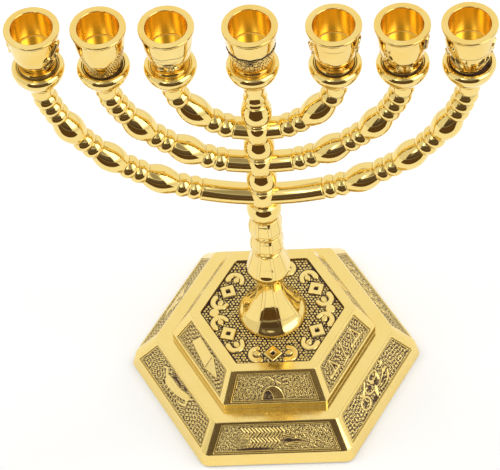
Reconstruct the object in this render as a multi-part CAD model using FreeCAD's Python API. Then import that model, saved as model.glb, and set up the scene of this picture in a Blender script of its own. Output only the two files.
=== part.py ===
import FreeCAD, Part
import math
import os

from FreeCAD import Placement, Rotation, Vector

# A seven-branch candelabrum of cast brass on a two-tier hexagonal base, in millimetres.
# X runs along the arms, Y is the depth, Z is up, and the origin is on the table under the middle.
# The shaft and the arms are sections threaded on one tie rod, which a nut inside the base pulls tight.
# Each cup has a stud that passes through its drip pan into the socket in the end of its arm.

# Base: centre to corner of each hexagon, each from the one above it, then heights and wall
felt_thickness = 0.6
felt_inset = 1.0
base_field_reach = 21.4
base_field_rim = 3.2
base_upper_spread = 5.9
base_ledge_width = 5.2
base_lower_spread = 7.1
base_band_spread = 1.2
base_crown_reach = base_field_reach + base_field_rim
base_upper_reach = base_crown_reach + base_upper_spread
base_shoulder_reach = base_upper_reach + base_ledge_width
base_waist_reach = base_shoulder_reach + base_lower_spread
base_foot_reach = base_waist_reach + base_band_spread
base_band_height = 4.2
base_lower_height = 13.0
base_plinth_height = 2.5
base_height = 25.4
base_field_recess = 0.7
base_wall = 2.2
foot_corner_radius = 3.2
shoulder_corner_radius = 1.4
upper_corner_radius = 1.0
base_turn_deg = 2.1
side_count = 6

# Sunk panels on the sloping faces of the base
panel_depth = 0.6
panel_bevel = 0.3
lower_panel_side_margin = 2.3
lower_panel_top_margin = 0.9
lower_panel_bottom_margin = 0.5
upper_panel_side_margin = 2.1
upper_panel_top_margin = 1.1
upper_panel_bottom_margin = 0.6

# Tie rod, washer and nut
rod_radius = 1.5
rod_clearance = 0.1
rod_tail = 1.4
rod_top_engagement = 5.0
washer_radius = 4.2
washer_thickness = 0.8
nut_across_flats = 5.5
nut_height = 2.4

# Shaft sections, from the base up; the flutes start a little above each section's lower edge
flute_count = 8
rib_width = 0.8
flute_wedge_reach = 20.0
foot_flute_start = 2.4
collar_flute_start = 6.0
bead_flute_start = 1.4
shaft_turn_deg = -5.0
foot_turn_deg = -2.0
foot_radius = 10.05
foot_height = 18.4
shaft_neck_radius = 3.45
collar_radius = 6.3
collar_height = 14.0
collar_top_radius = 4.3
fluted_bead_radius = 4.9
lower_bead_height = 7.4
upper_bead_height = 8.3
bead_seat_radius = 4.15
large_bead_radius = 4.88
large_bead_height = 6.4
ball_radius = 4.25
ball_height = 7.0
ball_seat_radius = 3.35
ball_ring_radius = 3.7
ball_ring_height = 1.2
hub_radius = 3.9
hub_seat_radius = 3.5
shaft_top_height = 8.5
shaft_top_radius = 3.05
shaft_top_ring_radius = 3.3

# Arms: the air between the rims of neighbouring cups, and the run of each pair
tube_radius = 3.15
groove_radius = 2.75
inner_cup_gap = 6.91
middle_cup_gap = 2.91
outer_cup_gap = 2.56
lower_tube_reach = 17.2
lower_tube_rise = 2.5
lower_arm_bulge = 8.0
middle_tube_reach = 9.2
middle_tube_rise = 0.8
middle_arm_bulge = 5.4
upper_tube_reach = 6.7
upper_tube_rise = 0.7
upper_arm_bulge = 2.2
neck_height = 3.0
neck_gap = 1.2
ring_pitch = 3.5
ring_radius = 3.4
olive_pitch = 9.4
olive_radius = 4.0

# Drip pans
pan_height = 8.0
pan_radius = 7.1
pan_stem_radius = 3.3
pan_lip_radius = 6.35
pan_floor_radius = 5.5
pan_dish_depth = 1.4

# Candle cups, for a candle about 10 mm thick at the foot
cup_height = 15.8
cup_foot_radius = 5.2
cup_rim_radius = 7.37
cup_neck_radius = 7.05
cup_rim_height = 0.9
cup_bore_radius = 5.55
cup_bore_depth = 9.3
cup_bore_chamfer = 0.25
cup_band_height = 6.2
cup_band_step = 0.55
stud_radius = 1.5
stud_clearance = 0.1
stud_engagement = 3.6

# One overrun serves every cut
overrun = 1.0

# Levels, worked out from the heights above
field_level = base_height - base_field_recess
collar_level = field_level + foot_height
lower_bead_level = collar_level + collar_height
upper_bead_level = lower_bead_level + lower_bead_height
large_bead_level = upper_bead_level + upper_bead_height
hub_height = 2 * tube_radius
section_height = ball_ring_height + ball_height
lower_hub_level = large_bead_level + large_bead_height
lower_ball_level = lower_hub_level + hub_height
middle_hub_level = lower_ball_level + section_height
middle_ball_level = middle_hub_level + hub_height
upper_hub_level = middle_ball_level + section_height
upper_ball_level = upper_hub_level + hub_height
shaft_top_level = upper_ball_level + section_height
pan_level = shaft_top_level + shaft_top_height
cup_level = pan_level + pan_height - pan_dish_depth

# Distances of the cups from the shaft, and bores
cup_width = 2 * cup_rim_radius
inner_cup_reach = cup_width + inner_cup_gap
middle_cup_reach = inner_cup_reach + cup_width + middle_cup_gap
outer_cup_reach = middle_cup_reach + cup_width + outer_cup_gap
rod_bore_radius = rod_radius + rod_clearance
stud_bore_radius = stud_radius + stud_clearance
stud_length = cup_level - pan_level + stud_engagement
rod_top_level = shaft_top_level + rod_top_engagement
field_underside = field_level - base_wall
washer_level = field_underside - washer_thickness
nut_level = washer_level - nut_height
rod_foot_level = nut_level - rod_tail

# Outlines as shares of a piece's height (second value) and of its change of radius (first value)
foot_flare_shares = ((0.92, 0.0), (1.0, 0.03), (0.97, 0.07), (0.77, 0.18), (0.53, 0.33), (0.325, 0.49),
                     (0.17, 0.65), (0.06, 0.815), (0.0, 1.0))
collar_under_shares = ((0.0, 0.0), (0.3, 0.09), (0.62, 0.18), (0.9, 0.29), (1.0, 0.39))
collar_over_shares = ((0.93, 0.48), (0.77, 0.58), (0.5, 0.71), (0.23, 0.86), (0.0, 1.0))
bead_bulge_shares = ((0.0, 0.0), (0.66, 0.16), (1.0, 0.42), (0.72, 0.74), (0.0, 1.0))
hub_bulge_shares = ((0.0, 0.0), (0.75, 0.25), (1.0, 0.5), (0.75, 0.75), (0.0, 1.0))
top_ring_shares = ((0.0, 0.0), (1.0, 0.1), (0.0, 0.2), (1.0, 0.3), (0.0, 0.4), (0.1, 0.72), (1.0, 1.0))
pan_outline_shares = ((0.0, 0.0), (0.22, 0.1), (0.6, 0.36), (0.9, 0.62), (1.0, 0.83), (0.97, 0.93))
cup_wall_shares = ((0.0, 0.0), (0.03, 0.08), (0.35, 0.36), (0.72, 0.68), (1.0, 1.0))

# Sections of an arm's bead: share of its swell, then share of its pitch
bead_section_shares = ((0.6, 0.2), (1.0, 0.5), (0.6, 0.8))

# Beads of each arm, from the plain tube outwards
LOWER_BEADS = ("ring", "ring", "olive") * 3 + ("ring",) * 3
MIDDLE_BEADS = ("ring", "ring", "olive") * 2 + ("ring",) * 3
UPPER_BEADS = ("ring", "ring", "olive", "ring")


def save(shape, name):
    """Write one node as a STEP file."""
    shape.exportStep("parts/" + name + ".step")


def chain(points):
    """Straight edges through a list of (radius, height) pairs in the XZ plane."""
    spots = [Vector(r, 0, z) for r, z in points]
    return [Part.LineSegment(a, b).toShape() for a, b in zip(spots, spots[1:])]


def curve(points):
    """One smooth edge through a list of (radius, height) pairs in the XZ plane."""
    spline = Part.BSplineCurve()
    spline.interpolate([Vector(r, 0, z) for r, z in points])
    return [spline.toShape()]


def turned(edges):
    """Revolve a half outline about the Z axis; its ends are joined straight to the axis."""
    start = edges[0].Vertexes[0].Point
    end = edges[-1].Vertexes[-1].Point
    closing = chain([(end.x, end.z), (0, end.z), (0, start.z), (start.x, start.z)])
    face = Part.Face(Part.Wire(edges + closing))
    return face.revolve(Vector(0, 0, 0), Vector(0, 0, 1), 360)


def shared(shares, base_radius, full_radius, level, height):
    """Turn outline shares into (radius, height) pairs between two radii."""
    swell = full_radius - base_radius
    return [(base_radius + swell * a, level + height * b) for a, b in shares]


def drilled(shape, radius, low, high, x=0):
    """Cut a vertical bore between two heights, at a distance x from the shaft."""
    return shape.cut(Part.makeCylinder(radius, high - low, Vector(x, 0, low)))


def hexagon(reach, corner_radius, level):
    """Closed wire of a hexagon with rounded corners, turned as the base is."""
    tangent = corner_radius * math.tan(math.pi / side_count)
    corners = []
    for k in range(side_count):
        angle = math.radians(base_turn_deg + 360 * k / side_count)
        corners.append(Vector(reach * math.cos(angle), reach * math.sin(angle), level))
    edges = []
    for k in range(side_count):
        corner = corners[k]
        before = (corners[k - 1] - corner).normalize()
        after = (corners[(k + 1) % side_count] - corner).normalize()
        inward = (before + after).normalize()
        depth = corner_radius / math.cos(math.pi / side_count) - corner_radius
        start = corner + before * tangent
        end = corner + after * tangent
        edges.append(Part.Arc(start, corner + inward * depth, end).toShape())
        following = corners[(k + 1) % side_count]
        edges.append(Part.LineSegment(end, following - after * tangent).toShape())
    return Part.Wire(edges)


def hexagon_block(reach, corner_radius, low, high):
    """Upright hexagonal block."""
    return Part.Face(hexagon(reach, corner_radius, low)).extrude(Vector(0, 0, high - low))


def tapered_block(low_reach, low_radius, low, high_reach, high_radius, high):
    """Hexagonal block whose sides slope between two hexagons."""
    wires = [hexagon(low_reach, low_radius, low), hexagon(high_reach, high_radius, high)]
    return Part.makeLoft(wires, True, True)


def sunk_panel(low_reach, low, high_reach, high, side_margin, top_margin, bottom_margin, turn):
    """Cutter for one bevelled recess in a sloping face of the base, and its frame on that face."""
    half_angle = math.pi / side_count
    low_half = low_reach * math.sin(half_angle)
    high_half = high_reach * math.sin(half_angle)
    low_depth = low_reach * math.cos(half_angle)
    high_depth = high_reach * math.cos(half_angle)
    slope = math.hypot(low_depth - high_depth, high - low)
    lean = math.hypot(slope, low_half - high_half) / slope

    def outline(margin, lift):
        """Four-sided wire on the face, moved in by a margin and out by a lift."""
        spots = []
        for side, v in ((-1, bottom_margin + margin), (1, bottom_margin + margin),
                        (1, slope - top_margin - margin), (-1, slope - top_margin - margin)):
            half = low_half + (high_half - low_half) * v / slope - (side_margin + margin) * lean
            spots.append((side * half, v, lift))
        return spots

    up = Vector(high_depth - low_depth, 0, high - low) * (1 / slope)
    outward = Vector(high - low, 0, low_depth - high_depth) * (1 / slope)
    origin = Vector(low_depth, 0, low)
    spin = Rotation(Vector(0, 0, 1), turn)

    def wire(spots):
        """Closed wire through spots given as (along, up the slope, outward)."""
        points = []
        for along, v, lift in spots:
            local = origin + up * v + outward * lift + Vector(0, along, 0)
            points.append(spin.multVec(local))
        return Part.makePolygon(points + points[:1])

    mouth = outline(-panel_bevel * overrun / panel_depth, overrun)
    bottom = outline(panel_bevel, -panel_depth)
    return Part.makeLoft([wire(bottom), wire(mouth)], True, True)


def base_shell():
    """Hollow two-tier base with twelve sunk panels and a sunk field on top."""
    foot = felt_thickness
    waist = foot + base_band_height
    ledge = base_lower_height
    step = ledge + base_plinth_height
    solid = tapered_block(base_foot_reach, foot_corner_radius, foot,
                          base_waist_reach, foot_corner_radius, waist)
    solid = solid.fuse(tapered_block(base_waist_reach, foot_corner_radius, waist,
                                     base_shoulder_reach, shoulder_corner_radius, ledge))
    solid = solid.fuse(hexagon_block(base_upper_reach, upper_corner_radius, ledge, step))
    solid = solid.fuse(tapered_block(base_upper_reach, upper_corner_radius, step,
                                     base_crown_reach, upper_corner_radius, base_height))
    solid = solid.removeSplitter()
    for k in range(side_count):
        turn = base_turn_deg + 360 * (k + 0.5) / side_count
        solid = solid.cut(sunk_panel(base_waist_reach, waist, base_shoulder_reach, ledge,
                                     lower_panel_side_margin, lower_panel_top_margin,
                                     lower_panel_bottom_margin, turn))
        solid = solid.cut(sunk_panel(base_upper_reach, step, base_crown_reach, base_height,
                                     upper_panel_side_margin, upper_panel_top_margin,
                                     upper_panel_bottom_margin, turn))
    solid = solid.cut(hexagon_block(base_field_reach, upper_corner_radius,
                                    field_level, base_height + overrun))
    inset = base_wall * math.sqrt(2)
    solid = solid.cut(hexagon_block(base_waist_reach - inset, foot_corner_radius, foot, waist))
    solid = solid.cut(tapered_block(base_waist_reach - inset, foot_corner_radius, waist,
                                    base_shoulder_reach - inset, shoulder_corner_radius,
                                    ledge - base_wall))
    solid = solid.cut(hexagon_block(base_upper_reach - inset, upper_corner_radius, foot, step))
    solid = solid.cut(tapered_block(base_upper_reach - inset, upper_corner_radius, step,
                                    base_crown_reach - inset, upper_corner_radius, field_underside))
    return drilled(solid, rod_bore_radius, foot, base_height)


def base_nut():
    """Hexagon nut on the tail of the rod, inside the base."""
    reach = nut_across_flats / math.sqrt(3)
    points = []
    for k in range(side_count):
        angle = 2 * math.pi * k / side_count
        points.append(Vector(reach * math.cos(angle), reach * math.sin(angle), nut_level))
    block = Part.Face(Part.makePolygon(points + points[:1])).extrude(Vector(0, 0, nut_height))
    return drilled(block, rod_bore_radius, nut_level, washer_level)


def flute_cutter(outline, start, end):
    """Block that cuts one flat flute on the +X side of a turned section, between two levels."""
    step = 2 * math.pi / flute_count
    flat = curve([(radius * math.cos(step / 2), level) for radius, level in outline])
    first = flat[0].Vertexes[0].Point
    last = flat[-1].Vertexes[-1].Point
    low = first.z - overrun
    high = last.z + overrun
    around = chain([(last.x, last.z), (last.x, high), (flute_wedge_reach, high),
                    (flute_wedge_reach, low), (first.x, low), (first.x, first.z)])
    width = 2 * flute_wedge_reach
    block = Part.Face(Part.Wire(flat + around)).extrude(Vector(0, width, 0))
    block.translate(Vector(0, -width / 2, 0))
    apex = rib_width / 2 / math.sin(step / 2)
    spread = (flute_wedge_reach - apex) * math.tan(step / 2)
    corners = [Vector(apex, 0, start), Vector(flute_wedge_reach, spread, start),
               Vector(flute_wedge_reach, -spread, start)]
    wedge = Part.Face(Part.makePolygon(corners + corners[:1])).extrude(Vector(0, 0, end - start))
    return block.common(wedge)


def fluted(outline, flute_start, turn_deg):
    """Turned section with flat flutes cut into it, which leave a narrow rib between each two."""
    low = outline[0][1]
    solid = turned(curve(outline))
    cutter = flute_cutter(outline, low + flute_start, outline[-1][1] + overrun)
    for k in range(flute_count):
        tool = cutter.copy()
        tool.rotate(Vector(0, 0, 0), Vector(0, 0, 1), turn_deg - 90 + 360 * k / flute_count)
        solid = solid.cut(tool)
    return solid


def fluted_foot():
    """Cone-shaped foot with a round rim, and broad flutes above it."""
    outline = shared(foot_flare_shares, shaft_neck_radius, foot_radius, field_level, foot_height)
    return drilled(fluted(outline, foot_flute_start, foot_turn_deg), rod_bore_radius, field_level, collar_level)


def flared_collar():
    """Fluted collar that swells below its waist."""
    under = shared(collar_under_shares, shaft_neck_radius, collar_radius, collar_level, collar_height)
    over = shared(collar_over_shares, collar_top_radius, collar_radius, collar_level, collar_height)
    body = fluted(under + over, collar_flute_start, shaft_turn_deg)
    return drilled(body, rod_bore_radius, collar_level, lower_bead_level)


def fluted_bead(level, height):
    """Fluted bead of the lower shaft."""
    outline = shared(bead_bulge_shares, bead_seat_radius, fluted_bead_radius, level, height)
    body = fluted(outline, bead_flute_start, shaft_turn_deg)
    return drilled(body, rod_bore_radius, level, level + height)


def large_bead():
    """Smooth bead under the lowest arms."""
    outline = shared(hub_bulge_shares, bead_seat_radius, large_bead_radius,
                     large_bead_level, large_bead_height)
    return drilled(turned(curve(outline)), rod_bore_radius, large_bead_level, lower_hub_level)


def ball_bead(level):
    """Round bead standing on a thin ring, between two pairs of arms."""
    ring_top = level + ball_ring_height
    ring = shared(hub_bulge_shares, ball_seat_radius, ball_ring_radius, level, ball_ring_height)
    ball = shared(bead_bulge_shares, ball_seat_radius, ball_radius, ring_top, ball_height)
    body = turned(curve(ring) + curve(ball))
    return drilled(body, rod_bore_radius, level, ring_top + ball_height)


def shaft_top():
    """Ringed neck at the head of the shaft, tapped for the rod below and for the middle cup above."""
    outline = shared(top_ring_shares, shaft_top_radius, shaft_top_ring_radius,
                     shaft_top_level, shaft_top_height)
    solid = turned(curve(outline))
    solid = drilled(solid, rod_bore_radius, shaft_top_level, rod_top_level)
    return drilled(solid, stud_bore_radius, pan_level - stud_engagement, pan_level)


def disc(x, z, angle, radius):
    """Round section at a spot in the XZ plane, square to a run that rises at an angle from +X."""
    wire = Part.Wire(Part.Circle(Vector(0, 0, 0), Vector(0, 0, 1), radius).toShape())
    wire.Placement = Placement(Vector(x, 0, z), Rotation(Vector(0, 1, 0), 90 - math.degrees(angle)))
    return wire


class Bow:
    """Arc in the XZ plane between two spots, which bulges below and outside the line between them."""

    def __init__(self, start, end, bulge):
        dx = end[0] - start[0]
        dz = end[1] - start[1]
        span = math.hypot(dx, dz)
        self.radius = (span * span / 4 + bulge * bulge) / (2 * bulge)
        to_centre = self.radius - bulge
        self.centre_x = start[0] + dx / 2 - to_centre * dz / span
        self.centre_z = start[1] + dz / 2 + to_centre * dx / span
        self.low = math.atan2(start[0] - self.centre_x, self.centre_z - start[1])
        self.high = math.atan2(end[0] - self.centre_x, self.centre_z - end[1])

    def length(self):
        """Length of the arc."""
        return self.radius * (self.high - self.low)

    def section(self, travelled, radius):
        """Round section at a distance along the arc from its start."""
        angle = self.low + travelled / self.radius
        x = self.centre_x + self.radius * math.sin(angle)
        z = self.centre_z - self.radius * math.cos(angle)
        return disc(x, z, angle, radius)


def plain_tube(hub_mid, reach, end_angle):
    """Side of the bent plain tube that runs through the hub."""
    bend = reach / math.sin(end_angle)
    rise = bend - bend * math.cos(end_angle)
    end = disc(-reach, hub_mid + rise, -end_angle, tube_radius)
    sweep = math.degrees(2 * end_angle)
    return end.revolve(Vector(0, 0, hub_mid + bend), Vector(0, -1, 0), sweep).Faces


def beaded_arm(cup_reach, start, start_angle, bulge, beads):
    """Faces of one arm on the +X side, bead by bead, from the end of the plain tube to the drip pan."""
    neck_foot = pan_level - neck_height
    bow = Bow(start, (cup_reach, neck_foot), bulge)
    pitches = {"ring": ring_pitch, "olive": olive_pitch}
    radii = {"ring": ring_radius, "olive": olive_radius}
    stretch = (bow.length() - neck_gap) / sum(pitches[kind] for kind in beads)
    groove = disc(start[0], start[1], start_angle, groove_radius)
    shoulder = disc(start[0], start[1], start_angle, tube_radius)
    faces = [Part.makeFace([shoulder, groove], "Part::FaceMakerBullseye")]
    travelled = 0
    for kind in beads:
        pitch = pitches[kind] * stretch
        swell = radii[kind] - groove_radius
        sections = [groove]
        for rise_share, along_share in bead_section_shares:
            radius = groove_radius + rise_share * swell
            sections.append(bow.section(travelled + along_share * pitch, radius))
        travelled += pitch
        groove = bow.section(travelled, groove_radius)
        sections.append(groove)
        faces.extend(Part.makeLoft(sections, False, False).Faces)
    foot = disc(cup_reach, neck_foot, math.pi / 2, tube_radius)
    seat = disc(cup_reach, pan_level, math.pi / 2, tube_radius)
    faces.extend(Part.makeLoft([groove, foot, seat], False, True).Faces)
    faces.append(Part.Face(seat))
    return faces


def sewn(faces):
    """Close faces that share their edges into one solid."""
    shell = Part.makeShell(faces)
    shell.sewShape()
    solid = Part.makeSolid(shell)
    if solid.Volume < 0:
        solid.reverse()
    return solid


def arm_pair(hub_level, cup_reach, tube_reach, tube_rise, bulge, beads):
    """Casting of two arms and the hub that the rod passes through."""
    hub_mid = hub_level + tube_radius
    hub_outline = shared(hub_bulge_shares, hub_seat_radius, hub_radius, hub_level, hub_height)
    end_angle = 2 * math.atan2(tube_rise, tube_reach)
    right = beaded_arm(cup_reach, (tube_reach, hub_mid + tube_rise), end_angle, bulge, beads)
    left = [face.mirror(Vector(0, 0, 0), Vector(1, 0, 0)) for face in right]
    body = sewn(right + plain_tube(hub_mid, tube_reach, end_angle) + left)
    body = body.fuse(turned(curve(hub_outline)))
    body = drilled(body, rod_bore_radius, hub_level - overrun, hub_level + hub_height + overrun)
    for x in (-cup_reach, cup_reach):
        body = drilled(body, stud_bore_radius, pan_level - stud_engagement, pan_level + overrun, x)
    return body


def drip_pan(x):
    """Dished pan whose underside runs down to the arm."""
    outline = shared(pan_outline_shares, pan_stem_radius, pan_radius, pan_level, pan_height)
    top = pan_level + pan_height
    crest = ((outline[-1][0] + pan_lip_radius) / 2, top)
    lip = (pan_lip_radius, top - pan_dish_depth / 3)
    floor = (pan_floor_radius, top - pan_dish_depth)
    edges = curve(outline) + curve([outline[-1], crest, lip]) + chain([lip, floor])
    solid = drilled(turned(edges), stud_bore_radius, pan_level - overrun, top)
    solid.translate(Vector(x, 0, 0))
    return solid


def candle_cup(x, banded):
    """Tapered cup with a flat rim, a flat-bottomed socket and a stud under its foot."""
    rim = cup_level + cup_height
    shoulder = rim - cup_rim_height
    wall = shared(cup_wall_shares, cup_foot_radius, cup_neck_radius, cup_level, shoulder - cup_level)
    under_rim = (cup_rim_radius, shoulder + (cup_rim_radius - cup_neck_radius) / 2)
    solid = turned(curve(wall) + chain([wall[-1], under_rim, (cup_rim_radius, rim)]))
    if banded:
        low = rim - cup_band_height
        edge = (cup_neck_radius - cup_band_step, low)
        band = chain([edge, (cup_neck_radius, low + cup_band_step), (cup_neck_radius, shoulder)])
        solid = solid.fuse(turned(band))
    floor = Vector(0, 0, rim - cup_bore_depth)
    solid = solid.cut(Part.makeCylinder(cup_bore_radius, cup_bore_depth + overrun, floor))
    flare = 2 * cup_bore_chamfer
    mouth = Vector(0, 0, rim - cup_bore_chamfer)
    solid = solid.cut(Part.makeCone(cup_bore_radius, cup_bore_radius + flare, flare, mouth))
    stud = Part.makeCylinder(stud_radius, stud_length, Vector(0, 0, cup_level - stud_length))
    solid = solid.fuse(stud)
    solid.translate(Vector(x, 0, 0))
    return solid


def main():
    """Build every piece and write it to its own file."""
    os.makedirs("parts", exist_ok=True)
    felt_reach = base_foot_reach - felt_inset
    save(hexagon_block(felt_reach, foot_corner_radius, 0, felt_thickness), "felt_pad")
    save(base_shell(), "base_shell")
    washer = Part.makeCylinder(washer_radius, washer_thickness, Vector(0, 0, washer_level))
    save(drilled(washer, rod_bore_radius, washer_level, field_underside), "base_washer")
    save(base_nut(), "base_nut")
    rod_length = rod_top_level - rod_foot_level
    save(Part.makeCylinder(rod_radius, rod_length, Vector(0, 0, rod_foot_level)), "tie_rod")
    save(fluted_foot(), "fluted_foot")
    save(flared_collar(), "flared_collar")
    save(fluted_bead(lower_bead_level, lower_bead_height), "faceted_bead_lower")
    save(fluted_bead(upper_bead_level, upper_bead_height), "faceted_bead_upper")
    save(large_bead(), "large_bead")
    save(arm_pair(lower_hub_level, outer_cup_reach, lower_tube_reach, lower_tube_rise,
                  lower_arm_bulge, LOWER_BEADS), "lower_arms")
    save(arm_pair(middle_hub_level, middle_cup_reach, middle_tube_reach, middle_tube_rise,
                  middle_arm_bulge, MIDDLE_BEADS), "middle_arms")
    save(arm_pair(upper_hub_level, inner_cup_reach, upper_tube_reach, upper_tube_rise,
                  upper_arm_bulge, UPPER_BEADS), "upper_arms")
    save(ball_bead(lower_ball_level), "ball_lower")
    save(ball_bead(middle_ball_level), "ball_middle")
    save(ball_bead(upper_ball_level), "ball_upper")
    save(shaft_top(), "shaft_top")
    reaches = (outer_cup_reach, middle_cup_reach, inner_cup_reach)
    places = [-reach for reach in reaches] + [0] + [reach for reach in reversed(reaches)]
    for number, x in enumerate(places, 1):
        save(drip_pan(x), "drip_pan_" + str(number))
        save(candle_cup(x, x == 0), "candle_cup_" + str(number))


main()
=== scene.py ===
"""Seven-branch brass menorah: surfaces, finishes and studio around its fixed frame.

Sizes are in millimetres and become metres when a surface turns into a mesh. X runs along the
branches, Z is up, and the front faces -Y. Every new piece lies where the frame has its solid.
"""

import logging
import math
from dataclasses import dataclass, field
from enum import Enum

import bpy
import numpy as np
from mathutils import Matrix, Vector


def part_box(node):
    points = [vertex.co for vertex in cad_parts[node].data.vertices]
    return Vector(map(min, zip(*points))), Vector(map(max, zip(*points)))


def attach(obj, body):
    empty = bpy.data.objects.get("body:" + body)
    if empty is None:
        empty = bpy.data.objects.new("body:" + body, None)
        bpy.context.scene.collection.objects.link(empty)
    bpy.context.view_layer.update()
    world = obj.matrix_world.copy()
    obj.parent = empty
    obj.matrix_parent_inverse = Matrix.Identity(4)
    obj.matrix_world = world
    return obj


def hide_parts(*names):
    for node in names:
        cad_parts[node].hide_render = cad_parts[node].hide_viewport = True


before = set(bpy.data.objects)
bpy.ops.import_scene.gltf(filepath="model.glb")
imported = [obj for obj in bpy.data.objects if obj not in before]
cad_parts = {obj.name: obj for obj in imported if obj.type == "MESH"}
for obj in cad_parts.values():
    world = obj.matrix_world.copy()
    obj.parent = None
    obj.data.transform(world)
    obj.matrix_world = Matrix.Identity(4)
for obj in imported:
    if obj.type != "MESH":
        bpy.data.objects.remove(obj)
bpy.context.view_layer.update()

MM = 0.001
TAU = 2 * math.pi
BODY = "root"
TONE = "tone"
SIDES = 6

log = logging.getLogger("menorah")


def node_levels(node: str) -> tuple[float, float]:
    """Read where a CAD node starts and ends in height.

    Args:
        node: name of the node in the frame.

    Returns:
        Its lowest and highest level, in millimetres.
    """
    low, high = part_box(node)
    return low.z / MM, high.z / MM


def node_middle(node: str) -> float:
    """Give the X of a CAD node's middle, in millimetres."""
    low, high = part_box(node)
    return (low.x + high.x) / 2 / MM


def ease(share: np.ndarray) -> np.ndarray:
    """Smooth step: 3 s squared less 2 s cubed, with s held between 0 and 1."""
    held = np.clip(share, 0.0, 1.0)
    return held * held * (3.0 - 2.0 * held)


def smooth_line(points: list[tuple[float, float]], count: int) -> np.ndarray:
    """Sample a natural cubic spline through points, by chord length.

    Each coordinate is a cubic on every chord, with matching slope and bend where chords meet
    and no bend at the two ends.

    Args:
        points: places the line passes through.
        count: number of samples, evenly spaced.

    Returns:
        The samples, one row each.
    """
    knots = np.asarray(points, float)
    chords = np.linalg.norm(np.diff(knots, axis=0), axis=1)
    travelled = np.concatenate([[0.0], np.cumsum(chords)])
    slopes = np.diff(knots, axis=0) / chords[:, None]
    system = np.eye(len(knots))
    inner = np.arange(1, len(knots) - 1)
    system[inner, inner - 1] = chords[:-1]
    system[inner, inner] = 2.0 * (chords[:-1] + chords[1:])
    system[inner, inner + 1] = chords[1:]
    wanted = np.zeros_like(knots)
    wanted[1:-1] = 6.0 * np.diff(slopes, axis=0)
    bends = np.linalg.solve(system, wanted)
    at = np.linspace(0.0, travelled[-1], count)
    k = np.clip(np.searchsorted(travelled, at, side="right") - 1, 0, len(chords) - 1)
    a = (travelled[k + 1] - at) / chords[k]
    b = 1.0 - a
    curved = (a**3 - a)[:, None] * bends[k] + (b**3 - b)[:, None] * bends[k + 1]
    return a[:, None] * knots[k] + b[:, None] * knots[k + 1] + curved * (chords[k] ** 2 / 6.0)[:, None]


def linked(name: str, data: bpy.types.ID) -> bpy.types.Object:
    """Make an object of some data and put it in the scene."""
    made = bpy.data.objects.new(name, data)
    bpy.context.scene.collection.objects.link(made)
    return made


def greater(tree: bpy.types.NodeTree, first: bpy.types.NodeSocket,
            second: bpy.types.NodeSocket) -> bpy.types.NodeSocket:
    """Add a node that gives the greater one of two values."""
    node = tree.nodes.new("ShaderNodeMath")
    node.operation = "MAXIMUM"
    tree.links.new(first, node.inputs[0])
    tree.links.new(second, node.inputs[1])
    return node.outputs[0]


def between(shares: tuple, base_radius: float, full_radius: float, low: float, high: float) -> list:
    """Turn outline shares into (radius, height) pairs between two radii and two levels."""
    swell = full_radius - base_radius
    return [(base_radius + swell * a, low + (high - low) * b) for a, b in shares]


@dataclass
class Surface:
    """A closed surface: points in millimetres, its faces, and one tone per point.

    On brass, a tone up to 1 is patina, and in places painted shade, and a tone down to -1 is blasted, satin
    metal.
    """

    points: np.ndarray
    quads: np.ndarray
    triangles: np.ndarray
    tone: np.ndarray

    def volume(self) -> float:
        """Add up the signed volumes between each triangle and the origin."""
        halves = [self.triangles, self.quads[:, [0, 1, 2]], self.quads[:, [0, 2, 3]]]
        a, b, c = (self.points[np.concatenate(halves)[:, k]] for k in range(3))
        return float(np.einsum("ij,ij->i", a, np.cross(b, c)).sum() / 6.0)

    def outward(self) -> "Surface":
        """Turn the faces round if they point inwards."""
        if self.volume() < 0:
            self.quads = self.quads[:, ::-1]
            self.triangles = self.triangles[:, ::-1]
        return self

    def joined(self, other: "Surface") -> "Surface":
        """Put a second closed surface beside this one in the same piece."""
        shift = len(self.points)
        return Surface(
            np.concatenate([self.points, other.points]),
            np.concatenate([self.quads, other.quads + shift]),
            np.concatenate([self.triangles, other.triangles + shift]),
            np.concatenate([self.tone, other.tone]),
        )

    def to_object(self, name: str) -> bpy.types.Object:
        """Write the surface into a mesh in metres, with its tone as a point attribute.

        Args:
            name: name of the new object and mesh.

        Returns:
            The object, at the origin.
        """
        mesh = bpy.data.meshes.new(name)
        corners = np.concatenate([self.quads.ravel(), self.triangles.ravel()]).astype(np.int32)
        totals = np.concatenate([np.full(len(self.quads), 4), np.full(len(self.triangles), 3)])
        starts = np.concatenate([[0], np.cumsum(totals)[:-1]])
        mesh.vertices.add(len(self.points))
        mesh.loops.add(len(corners))
        mesh.polygons.add(len(totals))
        mesh.vertices.foreach_set("co", (self.points * MM).astype(np.float32).ravel())
        mesh.loops.foreach_set("vertex_index", corners)
        mesh.polygons.foreach_set("loop_start", starts.astype(np.int32))
        mesh.polygons.foreach_set("loop_total", totals.astype(np.int32))
        mesh.polygons.foreach_set("use_smooth", np.ones(len(totals), bool))
        mesh.update(calc_edges=True)
        mesh.validate()
        layer = mesh.attributes.new(TONE, "FLOAT", "POINT")
        layer.data.foreach_set("value", self.tone.astype(np.float32))
        return linked(name, mesh)


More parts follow.
